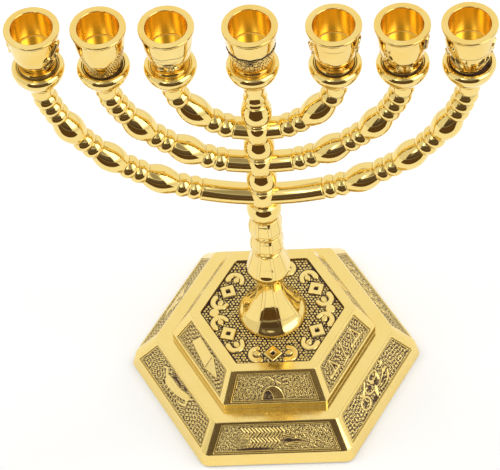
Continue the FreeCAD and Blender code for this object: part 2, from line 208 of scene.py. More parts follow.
def skinned(rings: np.ndarray, tone: np.ndarray | None = None, looped: bool = False) -> Surface:
    """Close a stack of rings into one surface.

    Point (i, j) is joined to its neighbours in the ring and in the next ring. The two end rings
    are closed by a fan to their middle, or joined to each other when the stack is a loop.

    Args:
        rings: array of (rings, columns, 3) points.
        tone: tone per point, or none for bare metal.
        looped: whether the last ring meets the first.

    Returns:
        The closed surface, facing outwards.
    """
    count, columns = rings.shape[:2]
    index = np.arange(count * columns).reshape(count, columns)
    points = rings.reshape(-1, 3)
    tones = np.zeros(len(points)) if tone is None else np.broadcast_to(tone, rings.shape[:2]).ravel()
    stack = np.vstack([index, index[:1]]) if looped else index
    beside = np.roll(stack, -1, axis=1)
    quads = np.stack([stack[:-1], beside[:-1], beside[1:], stack[1:]], axis=-1).reshape(-1, 4)
    triangles = np.zeros((0, 3), int)
    if not looped:
        low, high = len(points), len(points) + 1
        points = np.vstack([points, rings[0].mean(axis=0), rings[-1].mean(axis=0)])
        tones = np.append(tones, [tones[0], tones[-1]])
        first, last = index[0], index[-1]
        low_fan = np.stack([np.full(columns, low), np.roll(first, -1), first], axis=-1)
        high_fan = np.stack([np.full(columns, high), last, np.roll(last, -1)], axis=-1)
        triangles = np.concatenate([low_fan, high_fan])
    return Surface(points, quads, triangles, tones).outward()


def slab(top: np.ndarray, back: np.ndarray, tone: np.ndarray) -> Surface:
    """Close a relief grid with straight sides and a plain back.

    The border of the grid is dropped along the back's direction, and its foot is closed by a fan.

    Args:
        top: array of (rows, columns, 3) points of the relief.
        back: vector from the top to the back.
        tone: tone per point of the grid.

    Returns:
        The closed surface, facing outwards.
    """
    rows, columns = top.shape[:2]
    index = np.arange(rows * columns).reshape(rows, columns)
    cells = [index[:-1, :-1], index[:-1, 1:], index[1:, 1:], index[1:, :-1]]
    face = np.stack(cells, axis=-1).reshape(-1, 4)
    border = np.concatenate([index[0, :-1], index[:-1, -1], index[-1, :0:-1], index[:0:-1, 0]])
    points = top.reshape(-1, 3)
    foot = np.arange(len(border)) + len(points)
    middle = len(points) + len(border)
    wall = np.stack([border, foot, np.roll(foot, -1), np.roll(border, -1)], axis=-1)
    fan = np.stack([np.full(len(foot), middle), np.roll(foot, -1), foot], axis=-1)
    dropped = points[border] + back
    everything = np.vstack([points, dropped, dropped.mean(axis=0)])
    tones = np.concatenate([tone.ravel(), tone.ravel()[border], [1.0]])
    return Surface(everything, np.concatenate([face, wall]), fan, tones).outward()


def turned(profile: np.ndarray, columns: int, x: float = 0.0) -> np.ndarray:
    """Carry a (radius, height) profile round an upright axis.

    Args:
        profile: rows of radius and height.
        columns: points round each ring.
        x: distance of the axis from the shaft.

    Returns:
        The rings: x + r cos a, r sin a, z for each profile row and each angle a.
    """
    angles = np.linspace(0.0, TAU, columns, endpoint=False)
    radius, level = profile[:, 0, None], profile[:, 1, None]
    return np.stack([x + radius * np.cos(angles), radius * np.sin(angles), level + 0.0 * angles], axis=-1)


def granules(x: np.ndarray, y: np.ndarray, pitch: float, seed: int) -> np.ndarray:
    """Wormy grain: the mean of plane waves of one wavelength in many directions, about -1 to 1."""
    waves = 22
    rng = np.random.default_rng(seed)
    angle = rng.uniform(0.0, TAU, waves)
    phase = rng.uniform(0.0, TAU, waves)
    along = x[..., None] * np.cos(angle) + y[..., None] * np.sin(angle)
    return np.cos(along * TAU / pitch + phase).sum(axis=-1) / math.sqrt(waves)


def pebble_distance(x: np.ndarray, y: np.ndarray, pitch: float) -> np.ndarray:
    """Distance to the nearest spot of a staggered lattice whose spots are pushed about a little."""
    row_step = pitch * math.sqrt(3.0) / 2.0
    push = 0.3 * pitch
    row = np.round(y / row_step)
    nearest = np.full(x.shape, np.inf)
    for down in (-1, 0, 1):
        for across in (-1, 0, 1):
            j = row + down
            stagger = 0.5 * (j % 2)
            i = np.round(x / pitch - stagger) + across
            wobble = np.sin(i * 12.9898 + j * 78.233) * 43758.5453
            other = np.sin(i * 39.346 + j * 11.135) * 24634.6345
            spot_x = (i + stagger) * pitch + push * (wobble - np.floor(wobble) - 0.5)
            spot_y = j * row_step + push * (other - np.floor(other) - 0.5)
            nearest = np.minimum(nearest, np.hypot(x - spot_x, y - spot_y))
    return nearest


@dataclass
class Relief:
    """Raised figures on a flat ground: one height per grid point, the highest figure wins."""

    x: np.ndarray
    y: np.ndarray
    soft: float = 0.22
    height: np.ndarray = field(init=False)
    near: np.ndarray = field(init=False)
    shade: np.ndarray = field(init=False)

    def __post_init__(self) -> None:
        """Start from bare ground: no height, no figure near, no hollow."""
        self.height = np.zeros(np.broadcast(self.x, self.y).shape)
        self.near = np.full(self.height.shape, -99.0)
        self.shade = np.zeros(self.height.shape)

    def lift(self, inside: np.ndarray, rise: float) -> None:
        """Raise the ground by up to rise where the depth inside an outline is above zero."""
        self.height = np.maximum(self.height, rise * np.sqrt(ease(inside / self.soft)))
        self.near = np.maximum(self.near, inside)

    def hollow(self, spot: tuple, radius: float, wide: float = 1.0) -> None:
        """Darken an oval dip between the figures, wide times as broad as it is tall."""
        far = np.hypot((self.x - spot[0]) / wide, self.y - spot[1])
        self.shade = np.maximum(self.shade, ease((radius - far) / (0.6 * radius)))

    def score(self, spots: list, width: float, tone: float, depth: float = 0.1) -> None:
        """Cut a smooth line through spots and darken it."""
        way = [tuple(spot) for spot in smooth_line(spots, 6 * len(spots))]
        far = np.full(self.height.shape, np.inf)
        for a, b in zip(way, way[1:]):
            far = np.minimum(far, self.segment(a, b))
        cut = ease(1.0 - far / width)
        self.height = self.height - depth * cut
        self.shade = np.maximum(self.shade, tone * cut)

    def scores(self, shift: float, lines: tuple) -> None:
        """Cut lines, each given by its spots, width and tone, all moved by shift along X."""
        for spots, width, tone in lines:
            self.score([(shift + x, y) for x, y in spots], width, tone)

    def clear(self, inside: np.ndarray) -> None:
        """Take figures away again where the depth inside an outline is above zero."""
        self.height = self.height * (1.0 - ease(inside / self.soft))

    def segment(self, a: tuple, b: tuple) -> np.ndarray:
        """Distance from every grid point to the straight line between two spots."""
        ax, ay = a
        dx, dy = b[0] - ax, b[1] - ay
        share = ((self.x - ax) * dx + (self.y - ay) * dy) / max(dx * dx + dy * dy, 1e-9)
        share = np.clip(share, 0.0, 1.0)
        return np.hypot(self.x - ax - share * dx, self.y - ay - share * dy)

    def stroke(self, spots: list, width: float, rise: float, tip: float | None = None) -> None:
        """Raise a line through spots, whose width runs evenly to the tip's width if one is given."""
        widths = np.linspace(width, width if tip is None else tip, len(spots))
        for a, b, w in zip(spots, spots[1:], (widths[:-1] + widths[1:]) / 2.0):
            self.lift(w / 2.0 - self.segment(a, b), rise)

    def bow(self, spots: list, width: float, rise: float, tip: float | None = None) -> None:
        """Raise a smooth line through spots."""
        self.stroke([tuple(p) for p in smooth_line(spots, 5 * len(spots))], width, rise, tip)

    def disc(self, spot: tuple, radius: float, rise: float, wide: float = 1.0) -> None:
        """Raise a round figure, or an oval that is wide times as broad as it is tall."""
        far = np.hypot((self.x - spot[0]) / wide, self.y - spot[1])
        self.lift(radius - far, rise)

    def patch(self, corners: list, rise: float) -> None:
        """Raise a convex outline, given anticlockwise: the depth is the least one from its sides."""
        inside = np.full(self.height.shape, np.inf)
        for a, b in zip(corners, corners[1:] + corners[:1]):
            length = math.hypot(b[0] - a[0], b[1] - a[1])
            side = ((b[0] - a[0]) * (self.y - a[1]) - (b[1] - a[1]) * (self.x - a[0])) / length
            inside = np.minimum(inside, side)
        self.lift(inside, rise)

    def leaf(self, spot: tuple, angle_deg: float, length: float, width: float, rise: float) -> None:
        """Raise a pointed leaf: its half width is width / 2 times 1 less the squared share along."""
        turn = math.radians(angle_deg)
        along = (self.x - spot[0]) * math.cos(turn) + (self.y - spot[1]) * math.sin(turn)
        aside = (self.y - spot[1]) * math.cos(turn) - (self.x - spot[0]) * math.sin(turn)
        share = 2.0 * along / length - 1.0
        half = width / 2.0 * (1.0 - share * share)
        self.lift(half - np.abs(aside), rise)
        vein = self.soft / 3.0
        groove = (np.abs(aside) < vein) & (half > 2.0 * vein)
        self.height = np.where(groove, self.height - 0.35 * rise, self.height)


@dataclass
class Panel:
    """A panel to draw on in shares.

    A spot is a share of the width and a share of the height, from the middle. Radii, lengths and
    widths of lines are shares of the height, and a rise is a share of the full rise.
    """

    relief: Relief
    width: float
    height: float
    rise: float = 0.36

    @property
    def breadth(self) -> float:
        """Width of the panel in heights."""
        return self.width / self.height

    def spot(self, share: tuple) -> tuple[float, float]:
        """Place a spot on the relief."""
        return share[0] * self.width, share[1] * self.height

    def stroke(self, spots: list, width: float, tip: float | None = None, rise: float = 1.0) -> None:
        """Raise a line through spots, whose width runs evenly to the tip's width if one is given."""
        end = width if tip is None else tip
        ways = [self.spot(share) for share in spots]
        self.relief.stroke(ways, width * self.height, rise * self.rise, end * self.height)

    def bow(self, spots: list, width: float, tip: float | None = None, rise: float = 1.0) -> None:
        """Raise a smooth line through spots."""
        end = width if tip is None else tip
        ways = [self.spot(share) for share in spots]
        self.relief.bow(ways, width * self.height, rise * self.rise, end * self.height)

    def leaf(self, spot: tuple, angle_deg: float, length: float, width: float, rise: float = 1.0) -> None:
        """Raise a pointed leaf that starts at a spot."""
        size = (length * self.height, width * self.height)
        self.relief.leaf(self.spot(spot), angle_deg, *size, rise * self.rise)

    def disc(self, spot: tuple, radius: float, rise: float = 1.0, wide: float = 1.0) -> None:
        """Raise a round figure, or an oval that is wide times as broad as it is tall."""
        self.relief.disc(self.spot(spot), radius * self.height, rise * self.rise, wide)

    def patch(self, corners: list, rise: float = 1.0) -> None:
        """Raise a convex outline, given anticlockwise."""
        self.relief.patch([self.spot(share) for share in corners], rise * self.rise)

    def hollow(self, spot: tuple, radius: float, wide: float = 1.0) -> None:
        """Darken an oval dip between the figures."""
        self.relief.hollow(self.spot(spot), radius * self.height, wide)


class Motif(Enum):
    """Traditional figures of the twelve sunk panels."""

    WHEAT = "wheat sheaf"
    GAZELLE = "gazelle"
    TREE = "curled branch"
    SUNRISE = "domed gate"
    TENT = "tent"
    SCALES = "scales"
    SHIP = "ship"
    GRAPES = "grapes"
    OLIVE = "olive branch"
    PALM = "palm"
    JUG = "jug"
    ROSETTE = "rosette"

    def draw(self, relief: Relief, width: float, height: float) -> None:
        """Raise this figure on a panel.

        Args:
            relief: the panel's relief, with X along the panel and Y up it, from its middle.
            width: width of the panel at mid height.
            height: height of the panel.
        """
        painters = {
            Motif.WHEAT: draw_wheat,
            Motif.GAZELLE: draw_gazelle,
            Motif.TREE: draw_tree,
            Motif.SUNRISE: draw_sunrise,
            Motif.TENT: draw_tent,
            Motif.SCALES: draw_scales,
            Motif.SHIP: draw_ship,
            Motif.GRAPES: draw_grapes,
            Motif.OLIVE: draw_olive,
            Motif.PALM: draw_palm,
            Motif.JUG: draw_jug,
            Motif.ROSETTE: draw_rosette,
        }
        painters[self](Panel(relief, width, height))


def draw_wheat(panel: Panel) -> None:
    """Two ears lying on their side, with stalks at the left and pointed leaves at the right."""
    for row, first, count in ((0.2, -0.27, 12), (-0.17, -0.22, 9)):
        for k in range(count):
            x = first + 0.031 * k
            for side in (-1, 1):
                end = (x - 0.032, row + side * 0.165)
                panel.stroke([(x, row + 0.015 * side), end], 0.085, 0.06)
    for start, end in ((0.1, 0.07), (-0.02, -0.04), (-0.13, -0.15), (-0.26, -0.24)):
        panel.stroke([(-0.355, start), (-0.23, end)], 0.1, 0.08, rise=0.8)
    panel.leaf((0.05, -0.27), 2, 0.24 * panel.breadth, 0.19)
    panel.stroke([(0.06, 0.07), (0.16, -0.03), (0.28, -0.15)], 0.14, 0.03)
    panel.hollow((0.13, -0.12), 0.1, 5.0)
    panel.hollow((-0.2, -0.42), 0.09, 9.0)


def draw_gazelle(panel: Panel) -> None:
    """A gazelle lying down, its head up at the left and its horns swept back."""
    panel.bow([(-0.15, 0.0), (-0.05, 0.02), (0.04, 0.1), (0.12, 0.23)], 0.4, 0.26)
    panel.bow([(-0.14, 0.04), (-0.2, 0.09), (-0.235, 0.26)], 0.24, 0.13)
    panel.stroke([(-0.23, 0.28), (-0.27, 0.2)], 0.14, 0.06)
    panel.bow([(-0.225, 0.31), (-0.2, 0.42), (-0.15, 0.42)], 0.06, 0.03, rise=0.9)
    panel.bow([(0.11, 0.24), (0.16, 0.3), (0.19, 0.43)], 0.14, 0.05)
    panel.bow([(0.12, 0.16), (0.15, 0.0), (0.12, -0.12), (0.06, -0.2)], 0.14, 0.08)
    for k in range(5):
        x = -0.15 + 0.045 * k
        panel.stroke([(x, -0.12), (x - 0.012, -0.3 + 0.02 * k)], 0.07)
    panel.stroke([(-0.165, -0.34), (0.0, -0.3)], 0.05, rise=0.8)
    panel.hollow((-0.07, 0.3), 0.09, 5.0)
    panel.hollow((0.05, 0.4), 0.11, 1.6)
    panel.hollow((-0.17, -0.2), 0.09, 2.0)


def draw_tree(panel: Panel) -> None:
    """A branch that curls in on itself, with a ring of leaves at one end."""
    panel.bow([(-0.06, 0.43), (-0.105, 0.22), (-0.1, 0.02), (-0.03, -0.1), (0.07, -0.12), (0.17, 0.06),
               (0.19, 0.3)], 0.1, 0.06)
    ring = [(-0.18 + 0.06 * math.cos(a), -0.12 + 0.22 * math.sin(a)) for a in np.linspace(0.0, TAU, 13)]
    panel.stroke(ring, 0.09)
    panel.bow([(0.22, -0.1), (0.17, -0.3), (0.04, -0.33)], 0.09, 0.06)
    panel.bow([(-0.02, 0.34), (0.05, 0.42), (0.11, 0.3), (0.07, 0.18), (0.0, 0.2)], 0.08)
    for spot, angle, length, broad in (((-0.04, -0.42), 62, 0.5, 0.2), ((-0.12, 0.1), 150, 0.34, 0.15),
                                       ((-0.09, 0.3), 205, 0.3, 0.13), ((0.08, -0.08), 75, 0.36, 0.16),
                                       ((0.15, 0.0), 12, 0.34, 0.15), ((0.02, 0.05), 118, 0.3, 0.15),
                                       ((0.18, 0.24), 30, 0.28, 0.13)):
        panel.leaf(spot, angle, length, broad)
    for x, y, radius, wide in ((0.035, 0.04, 0.15, 1.3), (-0.045, 0.1, 0.12, 1.2), (0.04, 0.31, 0.08, 1.3),
                               (0.12, -0.16, 0.1, 2.0), (-0.18, -0.12, 0.11, 0.8), (-0.07, -0.36, 0.1, 3.0)):
        panel.hollow((x, y), radius, wide)


def draw_sunrise(panel: Panel) -> None:
    """A domed gate: a half-round block with an open arch at its left, and short strokes above."""
    across = panel.relief.x / panel.width
    up = panel.relief.y / panel.height + 0.47
    dome = 1.0 - np.hypot((across + 0.022) / 0.152, up / 0.53)
    panel.relief.lift(np.minimum(dome * 0.3, up) * panel.height, 1.15 * panel.rise)
    arch = 1.0 - np.hypot((across + 0.085) / 0.07, (up - 0.02) / 0.34)
    panel.relief.clear(arch * 0.2 * panel.height)
    panel.hollow((-0.075, -0.2), 0.12)
    for x, y, dx, dy in ((-0.09, 0.13, 0.045, 0.1), (0.03, 0.2, 0.05, -0.09), (-0.01, 0.24, -0.05, 0.11),
                         (-0.15, 0.02, -0.05, 0.07), (0.12, 0.1, 0.05, 0.02), (0.06, 0.3, 0.06, 0.08),
                         (-0.07, 0.36, -0.05, -0.09), (-0.16, 0.3, 0.06, 0.07), (0.0, 0.38, 0.03, 0.04),
                         (0.17, 0.28, -0.05, -0.04)):
        panel.stroke([(x, y), (x + dx, y + dy)], 0.08, rise=0.9)


def draw_tent(panel: Panel) -> None:
    """A tent with a plain roof, a pole, an open front and a row of pegs."""
    left, right = (-0.3, -0.07), (0.1, -0.3)
    peak, back = (0.13, 0.32), (-0.2, 0.4)
    tip = (0.35, -0.13)
    panel.patch([left, right, peak, back], rise=1.15)
    panel.patch([right, tip, peak], rise=0.55)
    panel.stroke([peak, tip], 0.085, rise=1.2)
    panel.stroke([right, tip], 0.06)
    for k in range(9):
        panel.disc((-0.41 + 0.062 * k, -0.36), 0.04, rise=0.8, wide=1.3)
    panel.hollow((0.02, 0.45), 0.07, 5.0)


def draw_scales(panel: Panel) -> None:
    """A pair of scales: a post on a foot, a beam, and two pans on their cords."""
    beam = 0.33
    panel.stroke([(-0.3, beam), (0.3, beam)], 0.06)
    panel.stroke([(0.02, beam), (-0.02, -0.34)], 0.09)
    panel.stroke([(-0.11, -0.38), (0.04, -0.33)], 0.09)
    for side in (-1, 1):
        hang = side * 0.28
        left, right = (hang - 0.12, -0.22), (hang + 0.1, -0.22)
        for corner in (left, (hang, -0.22), right):
            panel.stroke([(hang, beam), corner], 0.06)
        panel.stroke([left, right], 0.11, rise=1.1)
        panel.hollow((hang + 0.035, -0.05), 0.1)


def draw_ship(panel: Panel) -> None:
    """A sailing boat on two lines of waves."""
    hull = [(-0.2, -0.08), (-0.14, -0.28), (0.14, -0.28), (0.22, -0.08)]
    panel.patch(hull)
    panel.stroke([(0.0, -0.08), (0.0, 0.42)], 0.05)
    panel.patch([(0.02, -0.02), (0.15, -0.02), (0.02, 0.38)])
    panel.patch([(-0.02, -0.02), (-0.02, 0.3), (-0.12, -0.02)])
    for level in (-0.33, -0.43):
        wave = [(-0.34 + 0.04 * k, level + 0.03 * (-1) ** k) for k in range(18)]
        panel.bow(wave, 0.045, rise=0.8)


def draw_grapes(panel: Panel) -> None:
    """A hanging bunch of grapes between two leaves."""
    for row in range(5):
        for k in range(5 - row):
            spot = ((k - (4 - row) / 2) * 0.15 / panel.breadth, 0.18 - 0.13 * row)
            panel.disc(spot, 0.085)
    panel.bow([(0.0, 0.26), (0.02, 0.36), (0.07, 0.42)], 0.05)
    for side in (-1, 1):
        for angle, length in ((90, 0.5), (50, 0.42), (130, 0.42)):
            panel.leaf((side * 0.2, -0.2), angle, length, 0.2)
        panel.bow([(side * 0.05, 0.36), (side * 0.14, 0.2), (side * 0.2, -0.15)], 0.045)


def draw_olive(panel: Panel) -> None:
    """A branch that lies along the panel, with paired leaves and olives."""
    panel.bow([(-0.34, -0.08), (0.0, 0.05), (0.34, -0.02)], 0.055)
    for k in range(7):
        x = -0.28 + 0.095 * k
        for side in (-1, 1):
            panel.leaf((x, 0.01), side * 48, 0.42, 0.14)
        panel.disc((x + 0.045, 0.16 * (-1) ** k), 0.06)


def draw_palm(panel: Panel) -> None:
    """A palm with a notched trunk and a spread crown."""
    for k in range(6):
        level = -0.4 + 0.1 * k
        panel.stroke([(-0.03, level), (0.03, level)], 0.08)
    crown = 0.18
    for angle in (-25, 15, 50, 90, 130, 165, 205):
        panel.leaf((0.0, crown), angle, 0.46, 0.12)
    panel.stroke([(-0.2, -0.44), (0.2, -0.44)], 0.05)


def draw_jug(panel: Panel) -> None:
    """A jug with a handle, between two sprigs."""
    neck, rim = 0.12 / panel.breadth, 0.16 / panel.breadth
    panel.disc((0.0, -0.1), 0.27, rise=1.1)
    panel.patch([(-neck, 0.05), (neck, 0.05), (rim, 0.4), (-rim, 0.4)])
    panel.stroke([(-rim, -0.42), (rim, -0.42)], 0.08)
    handle = ((0.13, 0.34), (0.38, 0.24), (0.24, -0.04))
    panel.bow([(x / panel.breadth, y) for x, y in handle], 0.06)
    for side in (-1, 1):
        for k in range(4):
            spot = (side * 0.28, -0.34 + 0.17 * k)
            panel.leaf(spot, 90 - side * 45, 0.26, 0.1, rise=0.9)
            panel.leaf(spot, 90 + side * 45, 0.26, 0.1, rise=0.9)


def draw_rosette(panel: Panel) -> None:
    """A flower of eight petals between two leaf pairs."""
    for k in range(8):
        panel.leaf((0.0, 0.0), 45 * k, 0.42, 0.17)
    panel.disc((0.0, 0.0), 0.1, rise=1.2)
    for side in (-1, 1):
        middle = side * 0.24
        panel.leaf((middle, 0.0), 90 - side * 90, 0.14 * panel.breadth, 0.2)
        panel.leaf((middle, 0.03), 90 - side * 30, 0.36, 0.14)
        panel.leaf((middle, -0.03), -90 + side * 30, 0.36, 0.14)


class NodeSheet:
    """A material's node tree with a shader at its end, and short ways to add to it."""

    def __init__(self, name: str) -> None:
        """Start a material that holds only a shader and its output."""
        self.material = bpy.data.materials.new(name)
        self.material.use_nodes = True
        self.tree = self.material.node_tree
        self.tree.nodes.clear()
        self.shader = self.add("ShaderNodeBsdfPrincipled")
        output = self.add("ShaderNodeOutputMaterial")
        self.join(self.shader, "BSDF", output, "Surface")
        self.place = self.add("ShaderNodeTexCoord").outputs["Object"]

    def add(self, kind: str, **settings: object) -> bpy.types.Node:
        """Add a node and set its properties."""
        node = self.tree.nodes.new(kind)
        for key, value in settings.items():
            setattr(node, key, value)
        return node

    def join(self, source: bpy.types.Node, output: str, target: bpy.types.Node, socket: str) -> None:
        """Link one node's output to another node's input."""
        self.tree.links.new(source.outputs[output], target.inputs[socket])

    def noise(self, size_mm: float, detail: float = 3.0) -> bpy.types.NodeSocket:
        """Add cloudy noise whose blots are about size_mm across."""
        node = self.add("ShaderNodeTexNoise")
        node.inputs["Scale"].default_value = 1.0 / (size_mm * MM)
        node.inputs["Detail"].default_value = detail
        self.tree.links.new(self.place, node.inputs["Vector"])
        return node.outputs["Fac"]

    def ranged(self, source: bpy.types.NodeSocket, low: float, high: float,
               start: float = 0.3, end: float = 0.7) -> bpy.types.NodeSocket:
        """Stretch a value between start and end over low to high."""
        node = self.add("ShaderNodeMapRange")
        for socket, value in zip(("From Min", "From Max", "To Min", "To Max"), (start, end, low, high)):
            node.inputs[socket].default_value = value
        self.tree.links.new(source, node.inputs["Value"])
        return node.outputs["Result"]

    def blend(self, amount: bpy.types.NodeSocket, first: object, second: object) -> bpy.types.NodeSocket:
        """Mix two colours, each a plain colour or another socket."""
        node = self.add("ShaderNodeMix", data_type="RGBA")
        self.tree.links.new(amount, node.inputs["Factor"])
        for socket, value in ((node.inputs[6], first), (node.inputs[7], second)):
            if isinstance(value, tuple):
                socket.default_value = (*value, 1.0)
            else:
                self.tree.links.new(value, socket)
        return node.outputs[2]

    def level(self, amount: bpy.types.NodeSocket, first: object, second: object) -> bpy.types.NodeSocket:
        """Mix two numbers, each a plain number or another socket."""
        node = self.add("ShaderNodeMix", data_type="FLOAT")
        self.tree.links.new(amount, node.inputs["Factor"])
        for socket, value in ((node.inputs[2], first), (node.inputs[3], second)):
            if isinstance(value, float):
                socket.default_value = value
            else:
                self.tree.links.new(value, socket)
        return node.outputs[0]

    def bump(self, height: bpy.types.NodeSocket, depth_mm: float, strength: float) -> None:
        """Ripple the surface by a height of depth_mm."""
        node = self.add("ShaderNodeBump")
        node.inputs["Strength"].default_value = strength
        node.inputs["Distance"].default_value = depth_mm * MM
        self.tree.links.new(height, node.inputs["Height"])
        self.join(node, "Normal", self.shader, "Normal")

    def feed(self, source: bpy.types.NodeSocket, socket: str) -> None:
        """Link a value to the shader."""
        self.tree.links.new(source, self.shader.inputs[socket])

    def painted(self) -> bpy.types.NodeSocket:
        """Read the tone that the mesh carries."""
        return self.add("ShaderNodeAttribute", attribute_name=TONE).outputs["Fac"]


@dataclass(frozen=True)
class Brass:
    """Gold-toned brass, polished where it stands proud, and dark where patina lies and where shade is
    painted into the tone.
    """

    name: str
    bright: tuple = (0.93, 0.715, 0.262)
    warm: tuple = (0.915, 0.685, 0.225)
    dark: tuple = (0.055, 0.026, 0.02)
    fleck: tuple = (0.17, 0.1, 0.07)
    gloss: tuple = (0.03, 0.09)
    dull: float = 0.5
    satin: float = 0.24
    blasted_tone: tuple = (0.95, 0.665, 0.15)
    ripple_mm: float = 0.012
    ripple_size_mm: float = 2.4
    ripple_strength: float = 0.35
    cloud_size_mm: float = 9.0
    fleck_size_mm: float = 0.5
    gloss_size_mm: float = 1.6
    # Metallic and specular levels of the dark tone, which is patina and painted shade.
    patina_and_shade_metallic: float = 0.45
    patina_and_shade_specular: float = 0.12

    def material(self) -> bpy.types.Material:
        """Build the node material."""
        sheet = NodeSheet(self.name)
        cloud = sheet.noise(self.cloud_size_mm)
        fine = sheet.noise(self.fleck_size_mm)
        tone = sheet.painted()
        patina_and_shade = sheet.ranged(tone, 0.0, 1.0, 0.0, 1.0)
        blasted = sheet.ranged(tone, 1.0, 0.0, -1.0, 0.0)
        metal = sheet.blend(sheet.ranged(cloud, 0.0, 1.0), self.bright, self.warm)
        metal = sheet.blend(blasted, metal, self.blasted_tone)
        # The dark colour is patina, and painted shade where the tone paints shade in.
        patina_and_shade_colour = sheet.blend(sheet.ranged(fine, 0.0, 1.0), self.dark, self.fleck)
        sheet.feed(sheet.blend(patina_and_shade, metal, patina_and_shade_colour), "Base Color")
        polish = sheet.ranged(sheet.noise(self.gloss_size_mm), *self.gloss)
        polish = sheet.level(blasted, polish, self.satin)
        sheet.feed(sheet.level(patina_and_shade, polish, self.dull), "Roughness")
        sheet.feed(sheet.ranged(patina_and_shade, 1.0, self.patina_and_shade_metallic, 0.0, 1.0), "Metallic")
        sheet.feed(sheet.ranged(patina_and_shade, 0.5, self.patina_and_shade_specular, 0.0, 1.0), "Specular IOR Level")
        sheet.bump(sheet.noise(self.ripple_size_mm, 2.0), self.ripple_mm, self.ripple_strength)
        return sheet.material


@dataclass(frozen=True)
class ZincSteel:
    """Plated steel of the rod, washer and nut inside the object."""

    name: str = "zinc_plated_steel"
    tone: tuple = (0.56, 0.57, 0.58)
    tarnish: tuple = (0.42, 0.43, 0.42)

    def material(self) -> bpy.types.Material:
        """Build the node material."""
        sheet = NodeSheet(self.name)
        cloud = sheet.ranged(sheet.noise(1.5), 0.0, 1.0)
        sheet.feed(sheet.blend(cloud, self.tone, self.tarnish), "Base Color")
        sheet.feed(sheet.ranged(sheet.noise(0.6), 0.3, 0.45), "Roughness")
        sheet.shader.inputs["Metallic"].default_value = 1.0
        return sheet.material


@dataclass(frozen=True)
class Felt:
    """Dark green wool felt under the base."""

    name: str = "green_felt"
    deep: tuple = (0.02, 0.045, 0.028)
    pale: tuple = (0.05, 0.09, 0.06)

    def material(self) -> bpy.types.Material:
        """Build the node material."""
        sheet = NodeSheet(self.name)
        fibre = sheet.noise(0.25, 6.0)
        sheet.feed(sheet.blend(sheet.ranged(fibre, 0.0, 1.0), self.deep, self.pale), "Base Color")
        sheet.shader.inputs["Roughness"].default_value = 0.95
        sheet.shader.inputs["Sheen Weight"].default_value = 0.4
        sheet.bump(fibre, 0.15, 0.7)
        return sheet.material


@dataclass(frozen=True)
class Palette:
    """One material of each finish, made once."""

    polished: bpy.types.Material
    cup: bpy.types.Material
    base: bpy.types.Material
    antique: bpy.types.Material
    pebbled: bpy.types.Material
    steel: bpy.types.Material
    felt: bpy.types.Material

    @classmethod
    def mixed(cls) -> "Palette":
        """Make every material."""
        return cls(
            polished=Brass("polished_brass").material(),
            cup=Brass("cup_brass", warm=(0.9, 0.63, 0.17), dark=(0.03, 0.014, 0.012),
                      fleck=(0.08, 0.045, 0.04), dull=0.36).material(),
            base=Brass("base_brass", gloss=(0.1, 0.2), ripple_mm=0.02, ripple_size_mm=5.0).material(),
            antique=Brass("antiqued_brass", gloss=(0.1, 0.2), dark=(0.03, 0.013, 0.004)).material(),
            pebbled=Brass("pebbled_brass", gloss=(0.1, 0.18), dark=(0.018, 0.008, 0.01),
                          fleck=(0.05, 0.028, 0.034), dull=0.45).material(),
            steel=ZincSteel().material(),
            felt=Felt().material(),
        )


def place(surface: Surface, name: str, finish: bpy.types.Material,
          nodes: tuple) -> bpy.types.Object:
    """Turn a surface into a piece that stands for CAD nodes.

    Args:
        surface: closed surface of the piece.
        name: name of the piece.
        finish: material of the piece.
        nodes: CAD nodes it stands for.

    Returns:
        The finished piece.
    """
    piece = surface.to_object(name)
    piece.data.materials.append(finish)
    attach(piece, BODY)
    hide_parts(*nodes)
    log.info("%s: %d points", name, len(surface.points))
    return piece


def place_polished(surface: Surface, node: str, palette: Palette) -> None:
    """Turn a surface into the polished piece that stands for one CAD node."""
    place(surface, node + "_skin", palette.polished, (node,))


@dataclass
class Tier:
    """One sloping tier of the base: two hexagons, their levels, and the margins of its panels."""

    low_reach: float
    high_reach: float
    low: float
    high: float
    side_margin: float
    top_margin: float
    bottom_margin: float
    bevel: float = 0.3
    depth: float = 0.6

    def __post_init__(self) -> None:
        """Work out the slope of a side: its depth from the axis, its length and its lean."""
        half_angle = math.pi / SIDES
        self.low_half = self.low_reach * math.sin(half_angle)
        self.high_half = self.high_reach * math.sin(half_angle)
        self.low_depth = self.low_reach * math.cos(half_angle)
        self.high_depth = self.high_reach * math.cos(half_angle)
        self.slope = math.hypot(self.low_depth - self.high_depth, self.high - self.low)
        self.lean = math.hypot(self.slope, self.low_half - self.high_half) / self.slope

    def half(self, v: np.ndarray, margin: float) -> np.ndarray:
        """Half width of a panel at a height v up the slope, moved in by a margin."""
        side = self.low_half + (self.high_half - self.low_half) * v / self.slope
        return side - (self.side_margin + margin) * self.lean

    def on_face(self, along: np.ndarray, v: np.ndarray, lift: np.ndarray, turn: float) -> np.ndarray:
        """Place spots of a side, given along it, up it and out from it, on the turned base."""
        run, rise = self.low_depth - self.high_depth, self.high - self.low
        out = self.low_depth - v * run / self.slope + lift * rise / self.slope
        level = self.low + v * rise / self.slope + lift * run / self.slope
        x = out * math.cos(turn) - along * math.sin(turn)
        y = out * math.sin(turn) + along * math.cos(turn)
        return np.stack([x, y, level + 0.0 * x], axis=-1)


